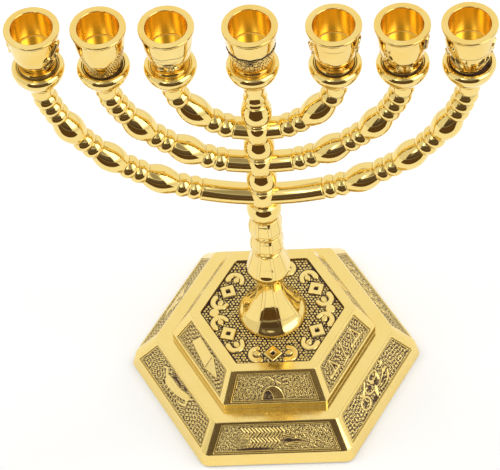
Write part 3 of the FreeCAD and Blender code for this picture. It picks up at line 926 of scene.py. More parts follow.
@dataclass
class Base:
    """Two-tier hexagonal base: hollow body, twelve relief plates, and the field round the shaft."""

    foot_reach: float = 44.0
    waist_reach: float = 42.8
    shoulder_reach: float = 35.7
    upper_reach: float = 30.5
    crown_reach: float = 24.6
    field_reach: float = 21.4
    band_height: float = 4.2
    ledge: float = 13.0
    plinth_height: float = 2.5
    field_recess: float = 0.7
    wall: float = 2.2
    foot_corner: float = 3.2
    shoulder_corner: float = 1.4
    upper_corner: float = 1.0
    bore: float = 1.6
    turn_deg: float = 2.1
    edge_round: float = 0.16
    edge_steps: int = 3
    edge_angle_deg: float = 18.0
    arc_points: int = 7
    lower_margins: tuple = (2.3, 0.9, 0.5)
    upper_margins: tuple = (2.1, 1.1, 0.6)
    cell: float = 0.125
    coarse_pitch: float = 1.15
    fine_pitch: float = 0.62
    plate_skin: float = 0.05
    ground_rise: float = 0.19
    lip_rise: float = 0.42
    figure_shine: float = 0.97
    grain_swing: float = 0.95
    halo_tone: float = 0.7
    moat_tone: float = 0.4
    grain_shine: float = 0.96
    # Painted light: a level for each side that makes its ground lighter or darker, lightest on the front
    # side.
    painted_side_light: tuple = (0.42, 0.42, 0.42, 0.5, 0.76, 0.34)
    plate_back: float = 0.5
    tuck: float = 0.08
    lip: float = 0.28
    field_rows: int = 84
    field_columns: int = 900
    field_start: float = 8.2
    field_back: float = 0.4
    field_skin: float = 0.04
    pebble_pitch: float = 1.0
    pebble_radius: float = 0.37
    pebble_rise: float = 0.2
    figure_rise: float = 0.45
    figure_reach: float = 15.1
    dot_reach: float = 17.2
    dot_radius: float = 1.5

    def __post_init__(self) -> None:
        """Take the levels from the frame and set out the two tiers."""
        self.low, self.high = node_levels("base_shell")
        self.field_level = self.high - self.field_recess
        self.lower = Tier(self.waist_reach, self.shoulder_reach, self.low + self.band_height, self.ledge,
                          *self.lower_margins)
        self.upper = Tier(self.upper_reach, self.crown_reach, self.ledge + self.plinth_height, self.high,
                          *self.upper_margins)

    def columns(self, reach: float, corner: float, tier: Tier | None, v: float, level: float,
                sink: float) -> np.ndarray:
        """One ring of the body: a hexagon with round corners, and panel edges on its sides.

        Each side has a stop at the mouth and at the floor of its panel, and the stops between
        them are sunk square to the slope by the given depth.

        Args:
            reach: distance from the axis to a sharp corner.
            corner: radius of the corners.
            tier: tier whose panels the ring crosses, or none.
            v: height up the tier's slope.
            level: height of the ring.
            sink: depth of the panel floor at this ring.

        Returns:
            The ring's points.
        """
        half_angle = math.pi / SIDES
        side_half = reach * math.sin(half_angle) - corner * math.tan(half_angle)
        depth = reach * math.cos(half_angle)
        if tier is None:
            mouth, floor = 0.9 * side_half, 0.86 * side_half
        else:
            mouth = float(tier.half(v, 0.0))
            floor = float(tier.half(v, tier.bevel))
        along = np.array([-side_half, -mouth, -floor, floor, mouth, side_half])
        sunk = np.array([0.0, 0.0, sink, sink, 0.0, 0.0])
        stops = len(along)
        bend = np.linspace(0.0, 2.0 * half_angle, self.arc_points + 2)[1:-1]
        arc_along = side_half + corner * np.sin(bend)
        arc_out = depth - corner + corner * np.cos(bend)
        parts = []
        for k in range(SIDES):
            turn = math.radians(self.turn_deg) + half_angle * (2 * k + 1)
            if tier is None:
                flat = np.stack([np.full(stops, depth), along, np.full(stops, level)], axis=-1)
            else:
                flat = tier.on_face(along, np.full(stops, v), -sunk, 0.0)
                flat[[0, -1]] = [[depth, along[0], level], [depth, along[-1], level]]
            arc = np.stack([arc_out, arc_along, np.full(self.arc_points, level)], axis=-1)
            local = np.concatenate([flat, arc])
            cos, sin = math.cos(turn), math.sin(turn)
            parts.append(local @ np.array([[cos, sin, 0.0], [-sin, cos, 0.0], [0.0, 0.0, 1.0]]))
        return np.concatenate(parts)

    def tier_rings(self, tier: Tier, low_corner: float, high_corner: float) -> tuple[list, list]:
        """Rings up one sloping tier, with the depth of each panel floor."""
        stops = [
            (0.0, 0.0),
            (tier.bottom_margin, 0.0),
            (tier.bottom_margin + tier.bevel, tier.depth),
            (tier.slope - tier.top_margin - tier.bevel, tier.depth),
            (tier.slope - tier.top_margin, 0.0),
            (tier.slope, 0.0),
        ]
        rings, sinks = [], []
        for v, sink in stops:
            share = v / tier.slope
            reach = tier.low_reach + (tier.high_reach - tier.low_reach) * share
            corner = low_corner + (high_corner - low_corner) * share
            level = tier.low + (tier.high - tier.low) * share
            rings.append(self.columns(reach, corner, tier, v, level, sink))
            sinks.append(sink)
        return rings, sinks

    def body(self) -> Surface:
        """Hollow body: one closed loop of rings up the outside, over the field and back inside."""
        inset = self.wall * math.sqrt(2.0)
        bore_reach = self.bore / math.cos(math.pi / SIDES)
        lower, lower_sinks = self.tier_rings(self.lower, self.foot_corner, self.shoulder_corner)
        upper, upper_sinks = self.tier_rings(self.upper, self.upper_corner, self.upper_corner)
        field_floor = self.field_level - self.wall

        def plain(reach: float, corner: float, level: float) -> np.ndarray:
            """Ring with no panels."""
            return self.columns(reach, corner, None, 0.0, level, 0.0)

        start = [plain(self.waist_reach - inset, self.foot_corner, self.low),
                 plain(self.foot_reach, self.foot_corner, self.low)]
        step = [plain(self.upper_reach, self.upper_corner, self.ledge)]
        crown = [plain(self.field_reach, self.upper_corner, self.high),
                 plain(self.field_reach, self.upper_corner, self.field_level),
                 plain(bore_reach, self.bore, self.field_level),
                 plain(bore_reach, self.bore, field_floor),
                 plain(self.crown_reach - inset, self.upper_corner, field_floor),
                 plain(self.upper_reach - inset, self.upper_corner, self.upper.low),
                 plain(self.upper_reach - inset, self.upper_corner, self.ledge - self.wall),
                 plain(self.shoulder_reach - inset, self.shoulder_corner, self.ledge - self.wall),
                 plain(self.waist_reach - inset, self.foot_corner, self.lower.low)]
        rings = np.stack(start + lower + step + upper + crown)
        sinks = [0.0] * 2 + lower_sinks + [0.0] + upper_sinks + [0.0] * len(crown)
        # The sunk panel floors take tone 1, which fades up their bevels: patina, with a painted dark
        # reflection on the bevels.
        on_floor = np.tile(np.array([0, 0, 1, 1, 0, 0] + [0] * self.arc_points), SIDES)
        patina_and_shade = (np.array(sinks) > 0)[:, None] * on_floor
        return skinned(rings, patina_and_shade.astype(float), looped=True)

    def plate(self, tier: Tier, side: int, motif: Motif) -> Surface:
        """Relief plate on the floor of one sunk panel.

        The height above the floor is a raised lip along the border, else the figure, else a
        wormy ground; patina fills what lies low, and each side's ground is made lighter or darker
        by a painted light level of its own.

        Args:
            tier: tier the panel is on.
            side: which of the six sides.
            motif: figure on the plate.

        Returns:
            The plate's closed surface.
        """
        low = tier.bottom_margin + tier.bevel - self.tuck
        high = tier.slope - tier.top_margin - tier.bevel + self.tuck
        rows = int((high - low) / self.cell)
        columns = int(2 * tier.half(low, tier.bevel) / self.cell)
        v = np.linspace(low, high, rows)[:, None]
        half = tier.half(v, tier.bevel) + self.tuck
        along = half * np.linspace(-1.0, 1.0, columns)[None, :]
        y = v - (low + high) / 2.0 + 0.0 * along
        relief = Relief(along, y)
        middle_width = 2.0 * float(tier.half((low + high) / 2.0, tier.bevel))
        motif.draw(relief, middle_width, high - low)
        figure = np.maximum(relief.height, 0.0)
        edge = np.minimum(np.minimum(v - low, high - v) + 0.0 * along, half - np.abs(along)) - self.tuck
        lip = ease(1.0 - np.abs(edge - self.lip / 2.0) / self.lip)
        coarse = granules(along, y, self.coarse_pitch, 7 * side + int(tier.low))
        fine = granules(along, y, self.fine_pitch, 5 * side + int(tier.high))
        grain = 0.65 * coarse + 0.7 * fine
        open_ground = 1.0 - relief.shade
        ground = self.ground_rise * ease(0.5 + 0.5 * grain) * open_ground
        bare = ease(figure / 0.2)
        relieved = np.maximum(ground * (1.0 - bare), figure)
        height = self.plate_skin + np.maximum(relieved, self.lip_rise * lip)
        # Painted light: the side's level sets how much of the grain shines.
        lit = self.grain_shine * ease(self.painted_side_light[side] + self.grain_swing * grain) * open_ground
        shine = np.maximum(np.maximum(lit * (1.0 - bare), self.figure_shine * bare), lip)
        halo = ease(1.0 + (relief.near - 0.06) / 0.4) * (1.0 - ease(figure / 0.25))
        moat = ease(1.0 - np.abs(edge - self.lip - 0.25) / 0.3)
        beside = self.halo_tone * halo + self.moat_tone * moat * (1.0 - bare)
        patina_and_shade = np.clip(1.0 - shine + beside, 0.0, 1.0)
        turn = math.radians(self.turn_deg + 360.0 * (side + 0.5) / SIDES)
        top = tier.on_face(along, v + 0.0 * along, height - tier.depth, turn)
        inner = tier.on_face(np.zeros(1), np.zeros(1), np.array([0.0, -self.plate_back]), turn)
        return slab(top, inner[1] - inner[0], patina_and_shade)

    def field_plate(self) -> Surface:
        """Pebbled field round the shaft, with leaves, lozenges and two dots.

        Each point lies at a share of the way from a circle under the shaft's foot to the
        hexagon's side; domes rise on a staggered lattice and the figures stand above them.
        """
        rows, columns = self.field_rows, self.field_columns
        inner = self.field_start
        angles = np.linspace(0.0, TAU, columns, endpoint=False)
        half_angle = math.pi / SIDES
        from_corner = np.mod(angles - math.radians(self.turn_deg), 2 * half_angle) - half_angle
        outer = (self.field_reach - 0.02) * math.cos(half_angle) / np.cos(from_corner)
        sharp = self.field_reach - self.upper_corner * (1.0 / math.cos(half_angle) - 1.0)
        outer = np.minimum(outer, sharp)
        share = np.linspace(0.0, 1.0, rows)[:, None]
        radius = inner + (outer - inner) * share
        x, y = radius * np.cos(angles), radius * np.sin(angles)
        relief = Relief(x, y, 0.18)
        self.field_figures(relief)
        figure = np.maximum(relief.height, 0.0)
        distance = pebble_distance(x, y, self.pebble_pitch)
        dome = np.sqrt(np.clip(1.0 - (distance / self.pebble_radius) ** 2, 0.0, 1.0))
        edge = (outer - radius) * np.cos(from_corner)
        moat = ease((edge - 0.25) / 0.3)
        clear = ease((relief.near + 0.45) / 0.3)
        dome = dome * moat * (1.0 - clear)
        height = self.field_skin + np.maximum(self.pebble_rise * dome, figure)
        shine = np.maximum(ease(dome / 0.75), ease(figure / 0.22))
        rings = np.stack([x, y, self.field_level + height], axis=-1)
        back = np.full((2, columns), self.field_level - self.field_back)
        foot = np.stack([x[[-1, 0]], y[[-1, 0]], back], axis=-1)
        patina_and_shade = np.vstack([1.0 - shine, np.ones((2, columns))])
        return skinned(np.concatenate([rings, foot]), patina_and_shade, looped=True)

    def field_figures(self, relief: Relief) -> None:
        """Raise an open lozenge between curled leaves on each side, and a dot at two corners."""
        rise = self.figure_rise
        for k in range(SIDES):
            turn = math.radians(self.turn_deg + 360.0 * (k + 0.5) / SIDES)
            out = relief.x * math.cos(turn) + relief.y * math.sin(turn) - self.figure_reach
            along = relief.y * math.cos(turn) - relief.x * math.sin(turn)
            local = Relief(along, out, relief.soft)
            local.lift((2.9 - np.abs(along) - np.abs(out)) * 0.7, rise)
            local.clear((1.05 - np.abs(along) - np.abs(out)) * 0.7)
            for side in (-1, 1):
                curl = ((3.7, 2.2), (5.6, 2.0), (6.6, 0.2), (5.8, -1.5), (4.4, -2.0))
                local.bow([(side * x, y) for x, y in curl], 1.75, rise, 1.4)
                local.leaf((side * 3.4, -0.1), 90 - side * 90, 2.6, 1.8, rise)
            relief.height = np.maximum(relief.height, local.height)
            relief.near = np.maximum(relief.near, local.near)
        for k in (0, 3):
            turn = math.radians(self.turn_deg + 360.0 * k / SIDES)
            spot = (self.dot_reach * math.cos(turn), self.dot_reach * math.sin(turn))
            relief.disc(spot, self.dot_radius, rise)

    def build(self, palette: Palette) -> None:
        """Make and dress every piece of the base."""
        body = place(self.body(), "base_body", palette.base, ("base_shell",))
        bevel = body.modifiers.new("rounded_edges", "BEVEL")
        bevel.width = self.edge_round * MM
        bevel.segments = self.edge_steps
        bevel.limit_method = "ANGLE"
        bevel.angle_limit = math.radians(self.edge_angle_deg)
        bevel.harden_normals = True
        lower = (Motif.OLIVE, Motif.GRAPES, Motif.SHIP, Motif.GAZELLE, Motif.WHEAT, Motif.TREE)
        upper = (Motif.JUG, Motif.ROSETTE, Motif.PALM, Motif.TENT, Motif.SUNRISE, Motif.SCALES)
        for side in range(SIDES):
            for tier, motifs, word in ((self.lower, lower, "lower"), (self.upper, upper, "upper")):
                plate = self.plate(tier, side, motifs[side])
                place(plate, f"relief_{word}_{side + 1}", palette.antique, ("base_shell",))
        place(self.field_plate(), "field_relief", palette.pebbled, ("base_shell",))


@dataclass
class FlutedSection:
    """A turned shaft section with eight flat flutes, which leave a narrow rib between each two."""

    node: str
    outline: list
    turn_deg: float
    flute_start: float
    stations: int = 72
    flutes: int = 8
    rib_width: float = 0.8
    rib_soft: float = 0.16
    start_soft: float = 0.9
    end_soft: float = 1.0
    depth: float = 0.8
    per_flute: int = 34
    # Tone of the painted shade in the creases beside the ribs.
    seam_shade_tone: float = 0.3

    def surface(self) -> Surface:
        """Carry a circle up the outline and plane the flutes off it.

        At an angle d from the middle of a flute the flat lies at radius times cos(h) / cos(d),
        with h half a flute's angle. The skin goes a share of the way to it, the depth, where the
        distance to the rib's edge grows from zero to the rib's softness, and from the level where
        the flutes start as a scoop does, little by little.
        """
        line = smooth_line(self.outline, self.stations)
        radius, level = line[:, 0, None], line[:, 1, None]
        half = math.pi / self.flutes
        share = np.linspace(-1.0, 1.0, self.per_flute, endpoint=False)
        from_middle = np.tile(half * np.sin(share * math.pi / 2.0), self.flutes)
        centre = np.repeat(np.arange(self.flutes) * 2.0 * half, self.per_flute)
        planed = radius * (1.0 - math.cos(half) / np.cos(from_middle))
        inside = radius * np.sin(half - np.abs(from_middle)) - self.rib_width / 2.0
        above = level - level[0] - self.flute_start
        scoop = ease(above / self.start_soft) * ease((level[-1] - level) / self.end_soft)
        skin = radius - self.depth * planed * ease(inside / self.rib_soft) * scoop
        angle = math.radians(self.turn_deg - 90.0) + centre + from_middle
        rings = np.stack([skin * np.cos(angle), skin * np.sin(angle), level + 0.0 * angle], axis=-1)
        # Painted shade: darken the creases where the flutes meet the ribs.
        seam = ease(1.0 - np.abs(inside - self.rib_soft / 2.0) / self.rib_soft)
        return skinned(rings, self.seam_shade_tone * seam * ease(above / self.start_soft))


@dataclass
class Stem:
    """The shaft: foot, collar, beads between the arms, and the ringed neck at its head."""

    foot_radius: float = 10.05
    neck_radius: float = 3.45
    collar_radius: float = 6.3
    collar_top_radius: float = 4.3
    fluted_bead_radius: float = 4.9
    bead_seat_radius: float = 4.15
    large_bead_radius: float = 4.88
    ball_radius: float = 4.25
    ball_seat_radius: float = 3.35
    ball_ring_radius: float = 3.7
    ball_ring_height: float = 1.2
    top_radius: float = 3.05
    top_ring_radius: float = 3.3
    shaft_turn_deg: float = -5.0
    foot_turn_deg: float = -2.0
    foot_flare_shares: tuple = ((0.92, 0.0), (1.0, 0.03), (0.97, 0.07), (0.77, 0.18), (0.53, 0.33),
                                (0.325, 0.49), (0.17, 0.65), (0.06, 0.815), (0.0, 1.0))
    collar_under_shares: tuple = ((0.0, 0.0), (0.3, 0.09), (0.62, 0.18), (0.9, 0.29), (1.0, 0.39))
    collar_over_shares: tuple = ((0.93, 0.48), (0.77, 0.58), (0.5, 0.71), (0.23, 0.86), (0.0, 1.0))
    bead_bulge_shares: tuple = ((0.0, 0.0), (0.66, 0.16), (1.0, 0.42), (0.72, 0.74), (0.0, 1.0))
    hub_bulge_shares: tuple = ((0.0, 0.0), (0.75, 0.25), (1.0, 0.5), (0.75, 0.75), (0.0, 1.0))
    top_ring_shares: tuple = ((0.0, 0.0), (1.0, 0.1), (0.0, 0.2), (1.0, 0.3), (0.0, 0.4), (0.1, 0.72),
                              (1.0, 1.0))

    def fluted(self) -> list[FlutedSection]:
        """The four fluted sections, from the base up."""
        foot = between(self.foot_flare_shares, self.neck_radius, self.foot_radius,
                       *node_levels("fluted_foot"))
        low, high = node_levels("flared_collar")
        under = between(self.collar_under_shares, self.neck_radius, self.collar_radius, low, high)
        over = between(self.collar_over_shares, self.collar_top_radius, self.collar_radius, low, high)
        sections = [
            FlutedSection("fluted_foot", foot, self.foot_turn_deg, flute_start=1.6, start_soft=1.6,
                          depth=0.5),
            FlutedSection("flared_collar", under + over, self.shaft_turn_deg, flute_start=5.4,
                          start_soft=1.6),
        ]
        for node in ("faceted_bead_lower", "faceted_bead_upper"):
            bead = between(self.bead_bulge_shares, self.bead_seat_radius, self.fluted_bead_radius,
                           *node_levels(node))
            sections.append(FlutedSection(node, bead, self.shaft_turn_deg, flute_start=1.4, stations=48))
        return sections

    def ball(self, node: str) -> Surface:
        """Round bead on its thin ring."""
        low, high = node_levels(node)
        seat = low + self.ball_ring_height
        ring = between(self.hub_bulge_shares, self.ball_seat_radius, self.ball_ring_radius, low, seat)
        ball = between(self.bead_bulge_shares, self.ball_seat_radius, self.ball_radius, seat, high)
        profile = np.concatenate([smooth_line(ring, 12), smooth_line(ball, 40)[1:]])
        return skinned(turned(profile, 72))

    def build(self, palette: Palette) -> None:
        """Make and dress every piece of the shaft."""
        for section in self.fluted():
            place_polished(section.surface(), section.node, palette)
        bead = between(self.hub_bulge_shares, self.bead_seat_radius, self.large_bead_radius,
                       *node_levels("large_bead"))
        place_polished(skinned(turned(smooth_line(bead, 36), 80)), "large_bead", palette)
        for node in ("ball_lower", "ball_middle", "ball_upper"):
            place_polished(self.ball(node), node, palette)
        neck = between(self.top_ring_shares, self.top_radius, self.top_ring_radius,
                       *node_levels("shaft_top"))
        place_polished(skinned(turned(smooth_line(neck, 60), 64)), "shaft_top", palette)


class Bead(Enum):
    """Kinds of bead on an arm: distance to the next bead, and radius."""

    RING = (3.5, 3.4)
    OLIVE = (9.4, 4.0)

    @property
    def pitch(self) -> float:
        """Room the bead takes along the arm."""
        return self.value[0]

    @property
    def radius(self) -> float:
        """Radius at the bead's middle."""
        return self.value[1]


@dataclass
class ArmPair:
    """Two arms and the hub between them, as one casting."""

    node: str
    cup_node: str
    tube_reach: float
    tube_rise: float
    bulge: float
    beads: tuple
    tube_radius: float = 3.15
    groove_radius: float = 2.75
    hub_radius: float = 3.9
    hub_seat_radius: float = 3.5
    neck_height: float = 3.0
    neck_gap: float = 1.2
    shoulder_round: float = 0.45
    around: int = 56
    # Tone of the painted shade in the grooves between the beads.
    groove_shade_tone: float = 0.3
    groove_soft: float = 0.09
    hub_bulge_shares: tuple = Stem.hub_bulge_shares

    def __post_init__(self) -> None:
        """Take the hub's level and the cup's distance from the frame."""
        self.seat = node_levels(self.node)[1]
        self.hub_mid = self.hub_low() + self.tube_radius
        self.cup_reach = abs(node_middle(self.cup_node))

    def hub_low(self) -> float:
        """Level of the hub's underside: the top of the section below it."""
        below = {"lower_arms": "large_bead", "middle_arms": "ball_lower", "upper_arms": "ball_middle"}
        return node_levels(below[self.node])[1]

    def right_line(self) -> np.ndarray:
        """Stations of the right arm from the shaft outwards: x, z, rising angle, radius.

        The plain tube is an arc through the hub; the beads follow a second arc that bulges
        below and outside the line from the tube's end to the foot of the neck.
        """
        end_angle = 2.0 * math.atan2(self.tube_rise, self.tube_reach)
        bend = self.tube_reach / math.sin(end_angle)
        short = self.shoulder_round / bend
        shoulder = end_angle - short * (1.0 - np.sin(np.linspace(0.0, math.pi / 2, 7)))
        angle = np.concatenate([np.linspace(0.0, end_angle - short, 24)[:-1], shoulder])
        from_end = (end_angle - angle) / short
        rounding = np.sqrt(1.0 - (1.0 - np.clip(from_end, 0.0, 1.0)) ** 2)
        tube_radius = self.groove_radius + (self.tube_radius - self.groove_radius) * rounding
        x, z = bend * np.sin(angle), self.hub_mid + bend - bend * np.cos(angle)
        tube = np.stack([x, z, angle, tube_radius], axis=-1)
        return np.concatenate([tube, self.beaded_line(tube[-1])[1:], self.neck_line()])

    def beaded_line(self, start: np.ndarray) -> np.ndarray:
        """Stations of the beads: each swells from the groove by a sine of its share along."""
        end = (self.cup_reach, self.seat - self.neck_height)
        dx, dz = end[0] - start[0], end[1] - start[1]
        span = math.hypot(dx, dz)
        radius = (span * span / 4.0 + self.bulge**2) / (2.0 * self.bulge)
        to_centre = radius - self.bulge
        centre = (start[0] + dx / 2.0 - to_centre * dz / span, start[1] + dz / 2.0 + to_centre * dx / span)
        low = math.atan2(start[0] - centre[0], centre[1] - start[1])
        high = math.atan2(end[0] - centre[0], centre[1] - end[1])
        room = radius * (high - low) - self.neck_gap
        stretch = room / sum(bead.pitch for bead in self.beads)
        travelled, swells = [], []
        at = 0.0
        for bead in self.beads:
            steps = 14 if bead is Bead.RING else 30
            share = (1.0 - np.cos(np.linspace(0.0, math.pi, steps))) / 2.0
            travelled.append(at + share[:-1] * bead.pitch * stretch)
            swells.append((bead.radius - self.groove_radius) * np.sin(math.pi * share[:-1]) ** 0.92)
            at += bead.pitch * stretch
        way = np.append(np.concatenate(travelled), at)
        swell = np.append(np.concatenate(swells), 0.0)
        angle = low + way / radius
        return np.stack([centre[0] + radius * np.sin(angle), centre[1] - radius * np.cos(angle), angle,
                         self.groove_radius + swell], axis=-1)

    def neck_line(self) -> np.ndarray:
        """Stations of the upright neck under the drip pan."""
        level = np.linspace(self.seat - self.neck_height, self.seat, 6)
        ones = np.ones_like(level)
        return np.stack([self.cup_reach * ones, level, math.pi / 2 * ones, self.tube_radius * ones], axis=-1)

    def surface(self) -> Surface:
        """Carry a circle along both arms, and add the barrel-shaped hub."""
        right = self.right_line()
        left = right[:0:-1] * np.array([-1.0, 1.0, -1.0, 1.0])
        x, z, angle, radius = np.concatenate([left, right]).T[..., None]
        turn = np.linspace(0.0, TAU, self.around, endpoint=False)
        up = radius * np.cos(turn)
        rings = np.stack([x - up * np.sin(angle), radius * np.sin(turn), z + up * np.cos(angle)], axis=-1)
        # Painted shade: darken the grooves between the beads.
        groove = ease(1.0 - (radius - self.groove_radius) / self.groove_soft)
        low = self.hub_mid - self.tube_radius
        outline = between(self.hub_bulge_shares, self.hub_seat_radius, self.hub_radius, low,
                          low + 2.0 * self.tube_radius)
        hub = skinned(turned(smooth_line(outline, 30), 64))
        return skinned(rings, self.groove_shade_tone * groove + 0.0 * turn).joined(hub)


@dataclass
class Arms:
    """The three pairs of arms."""

    def build(self, palette: Palette) -> None:
        """Make and dress each pair."""
        ring, olive = Bead.RING, Bead.OLIVE
        pairs = (
            ArmPair("lower_arms", "candle_cup_7", 17.2, 2.5, 8.0, (ring, ring, olive) * 3 + (ring,) * 3),
            ArmPair("middle_arms", "candle_cup_6", 9.2, 0.8, 5.4, (ring, ring, olive) * 2 + (ring,) * 3),
            ArmPair("upper_arms", "candle_cup_5", 6.7, 0.7, 2.2, (ring, ring, olive, ring)),
        )
        for pair in pairs:
            place_polished(pair.surface(), pair.node, palette)


class CupRelief(Enum):
    """Ornament on the outside of a candle cup."""

    SCROLL = 1
    FEATHER = 2
    FIG = 3
    BAND = 4
    LINE = 5
    STAR = 6
    VASE = 7


@dataclass
class Cup:
    """One candle cup: tapered wall with its ornament, flat rim, socket and stud."""

    number: int
    relief: CupRelief
    foot_radius: float = 5.2
    rim_radius: float = 7.37
    neck_radius: float = 7.05
    rim_height: float = 0.9
    bore_radius: float = 5.55
    bore_depth: float = 9.3
    stud_radius: float = 1.5
    stud_length: float = 10.2
    wall_height: float = 15.8
    edge: float = 0.12
    columns: int = 320
    wall_rows: int = 104
    cup_wall_shares: tuple = ((0.0, 0.0), (0.0, 0.07), (-0.2, 0.14), (-0.1, 0.24), (0.34, 0.42),
                              (0.72, 0.7), (1.0, 1.0))
    line_width: float = 0.16
    line_depth: float = 0.05
    # Tone of the painted dark reflection along the cut line under the rim.
    rim_line_reflection_tone: float = 0.4
    satin_bore: float = -1.0
    deep_bore: float = -0.3
    seat_shade: tuple = ((0.85, 0.3), (0.95, 0.6), (0.2, 0.0), (0.1, 0.0), (0.95, 0.0), (0.95, 0.3),
                         (1.0, 1.6))

    def surface(self) -> Surface:
        """Carry the cup's profile round its axis, with the ornament pushed out of the wall."""
        node = f"candle_cup_{self.number}"
        rim = node_levels(node)[1]
        foot = rim - self.wall_height
        shoulder = rim - self.rim_height
        wall = smooth_line(between(self.cup_wall_shares, self.foot_radius, self.neck_radius, foot, shoulder),
                           self.wall_rows)
        stud = np.array([(self.stud_radius, foot - self.stud_length), (self.stud_radius, foot)])
        under = (self.rim_radius, shoulder + (self.rim_radius - self.neck_radius) / 2.0)
        edge, floor = self.edge, rim - self.bore_depth
        top = np.array([
            under,
            (self.rim_radius, rim - 2.0 * edge),
            (self.rim_radius - 0.3 * edge, rim - 0.6 * edge),
            (self.rim_radius - edge, rim),
            (self.rim_radius - 2.5 * edge, rim),
            (self.bore_radius + 3.0 * edge, rim),
            (self.bore_radius + 1.5 * edge, rim),
            (self.bore_radius + 0.4 * edge, rim - 0.6 * edge),
            (self.bore_radius, rim - 2.0 * edge),
            (self.bore_radius, rim - 4.0 * edge),
            (self.bore_radius, floor + 4.0 * edge),
            (self.bore_radius, floor + edge),
            (self.bore_radius - 0.5 * edge, floor + 0.3 * edge),
            (self.bore_radius - 2.0 * edge, floor),
            (self.bore_radius - 6.0 * edge, floor),
            (self.bore_radius / 2.0, floor),
        ])
        profile = np.concatenate([stud, wall, top])
        rings = turned(profile, self.columns)
        angle = np.linspace(0.0, TAU, self.columns, endpoint=False)
        lift, patina_and_shade = self.ornament(wall, np.mod(angle + math.pi / 2.0 + math.pi, TAU) - math.pi)
        rows = slice(len(stud), len(stud) + len(wall))
        outward = np.stack([np.cos(angle), np.sin(angle), 0.0 * angle], axis=-1)
        rings[rows] += lift[..., None] * outward
        rings += np.array([node_middle(node), 0.0, 0.0])
        tone = np.zeros(rings.shape[:2])
        tone[rows] = patina_and_shade
        tone[rows.stop + 9:rows.stop + 12] = self.satin_bore
        tone[rows.stop + 12:] = self.deep_bore
        return skinned(rings, tone)

    def ornament(self, wall: np.ndarray, angle: np.ndarray) -> tuple[np.ndarray, np.ndarray]:
        """Height of the ornament over the wall, by angle from the front, and its patina with painted shade
        at the foot and a painted dark reflection under the rim.
        """
        level = (wall[:, 1] - wall[0, 1])[:, None]
        mean = 0.5 * (self.foot_radius + self.neck_radius)
        relief = Relief(mean * angle[None, :] + 0.0 * level, level + 0.0 * angle[None, :], 0.25)
        painters = {
            CupRelief.SCROLL: self.scroll,
            CupRelief.FEATHER: self.feather,
            CupRelief.FIG: self.fig,
            CupRelief.BAND: self.band,
            CupRelief.LINE: self.line,
            CupRelief.STAR: self.star,
            CupRelief.VASE: self.vase,
        }
        painters[self.relief](relief)
        top = self.wall_height - self.rim_height
        fade = ease((top - 0.2 - relief.y) / 0.5) * ease((relief.y - 1.4) / 0.6)
        # The cut line under the rim is darkened with a painted dark reflection; the seat adds painted shade
        # at the foot.
        line = ease(1.0 - np.abs(relief.y - top + 0.1) / self.line_width)
        strength, to_right = self.seat_shade[self.number - 1]
        seat = strength * ease((1.7 + to_right * ease(relief.x / 8.0) - relief.y) / 0.3)
        patina_and_shade = np.clip(relief.shade * fade + self.rim_line_reflection_tone * line + seat, 0.0, 1.0)
        return relief.height * fade - self.line_depth * line, patina_and_shade

    def scroll(self, relief: Relief) -> None:
        """A plain wall with a thin line below, and a curled frond at each side."""
        relief.score([(-4.0, 5.0), (-1.0, 4.4), (2.4, 4.6)], 0.2, 0.7)
        for middle in (6.2, -10.5):
            frond = ((1.2, 12.6), (0.2, 11.2), (-0.9, 9.6), (-0.4, 7.9), (-1.7, 6.4), (-3.2, 5.4))
            relief.bow([(middle + x, y) for x, y in frond], 1.0, 0.5, 0.6)
            relief.leaf((middle - 0.9, 9.4), 200, 2.8, 1.4, 0.45)
            relief.leaf((middle - 0.2, 7.6), 20, 3.4, 1.5, 0.5)
            relief.leaf((middle + 0.4, 10.8), 10, 3.0, 1.3, 0.45)
            relief.scores(middle, (
                (((-0.2, 12.2), (-1.5, 10.4), (-1.3, 8.2), (-2.9, 6.6)), 0.28, 0.75),
                (((1.2, 10.0), (0.6, 8.6), (-0.8, 5.6), (-2.6, 4.2)), 0.3, 0.85),
            ))

    def feather(self, relief: Relief) -> None:
        """Small barbs beside a smooth point that reaches down to the foot at the front."""
        slant = relief.y - 1.7 * np.abs(relief.x - 0.2)
        rows = 0.5 + 0.5 * np.sin((relief.y * 1.1 + 0.5 * np.abs(relief.x)) * TAU / 1.15)
        barbs = 0.5 + 0.5 * np.sin((relief.x * 1.2 + relief.y * 0.5) * TAU / 1.0)
        reach = ease((9.0 - 0.25 * (4.0 - relief.x) - np.abs(relief.x)) / 3.0)
        shown = ease((2.2 - slant) / 0.8) * reach * ease((11.5 - relief.y) / 2.0)
        relief.height = np.maximum(relief.height, 0.22 * np.sqrt(rows * barbs) * shown)
        relief.shade = 0.55 * shown * ease((0.16 - rows * barbs) / 0.16)
        relief.score([(-2.7, 5.4), (-1.4, 3.2), (0.1, 1.9), (1.5, 3.4), (2.8, 5.6)], 0.22, 0.8)
        relief.score([(0.1, 1.8), (1.2, 2.5), (2.6, 3.6)], 0.3, 0.9)

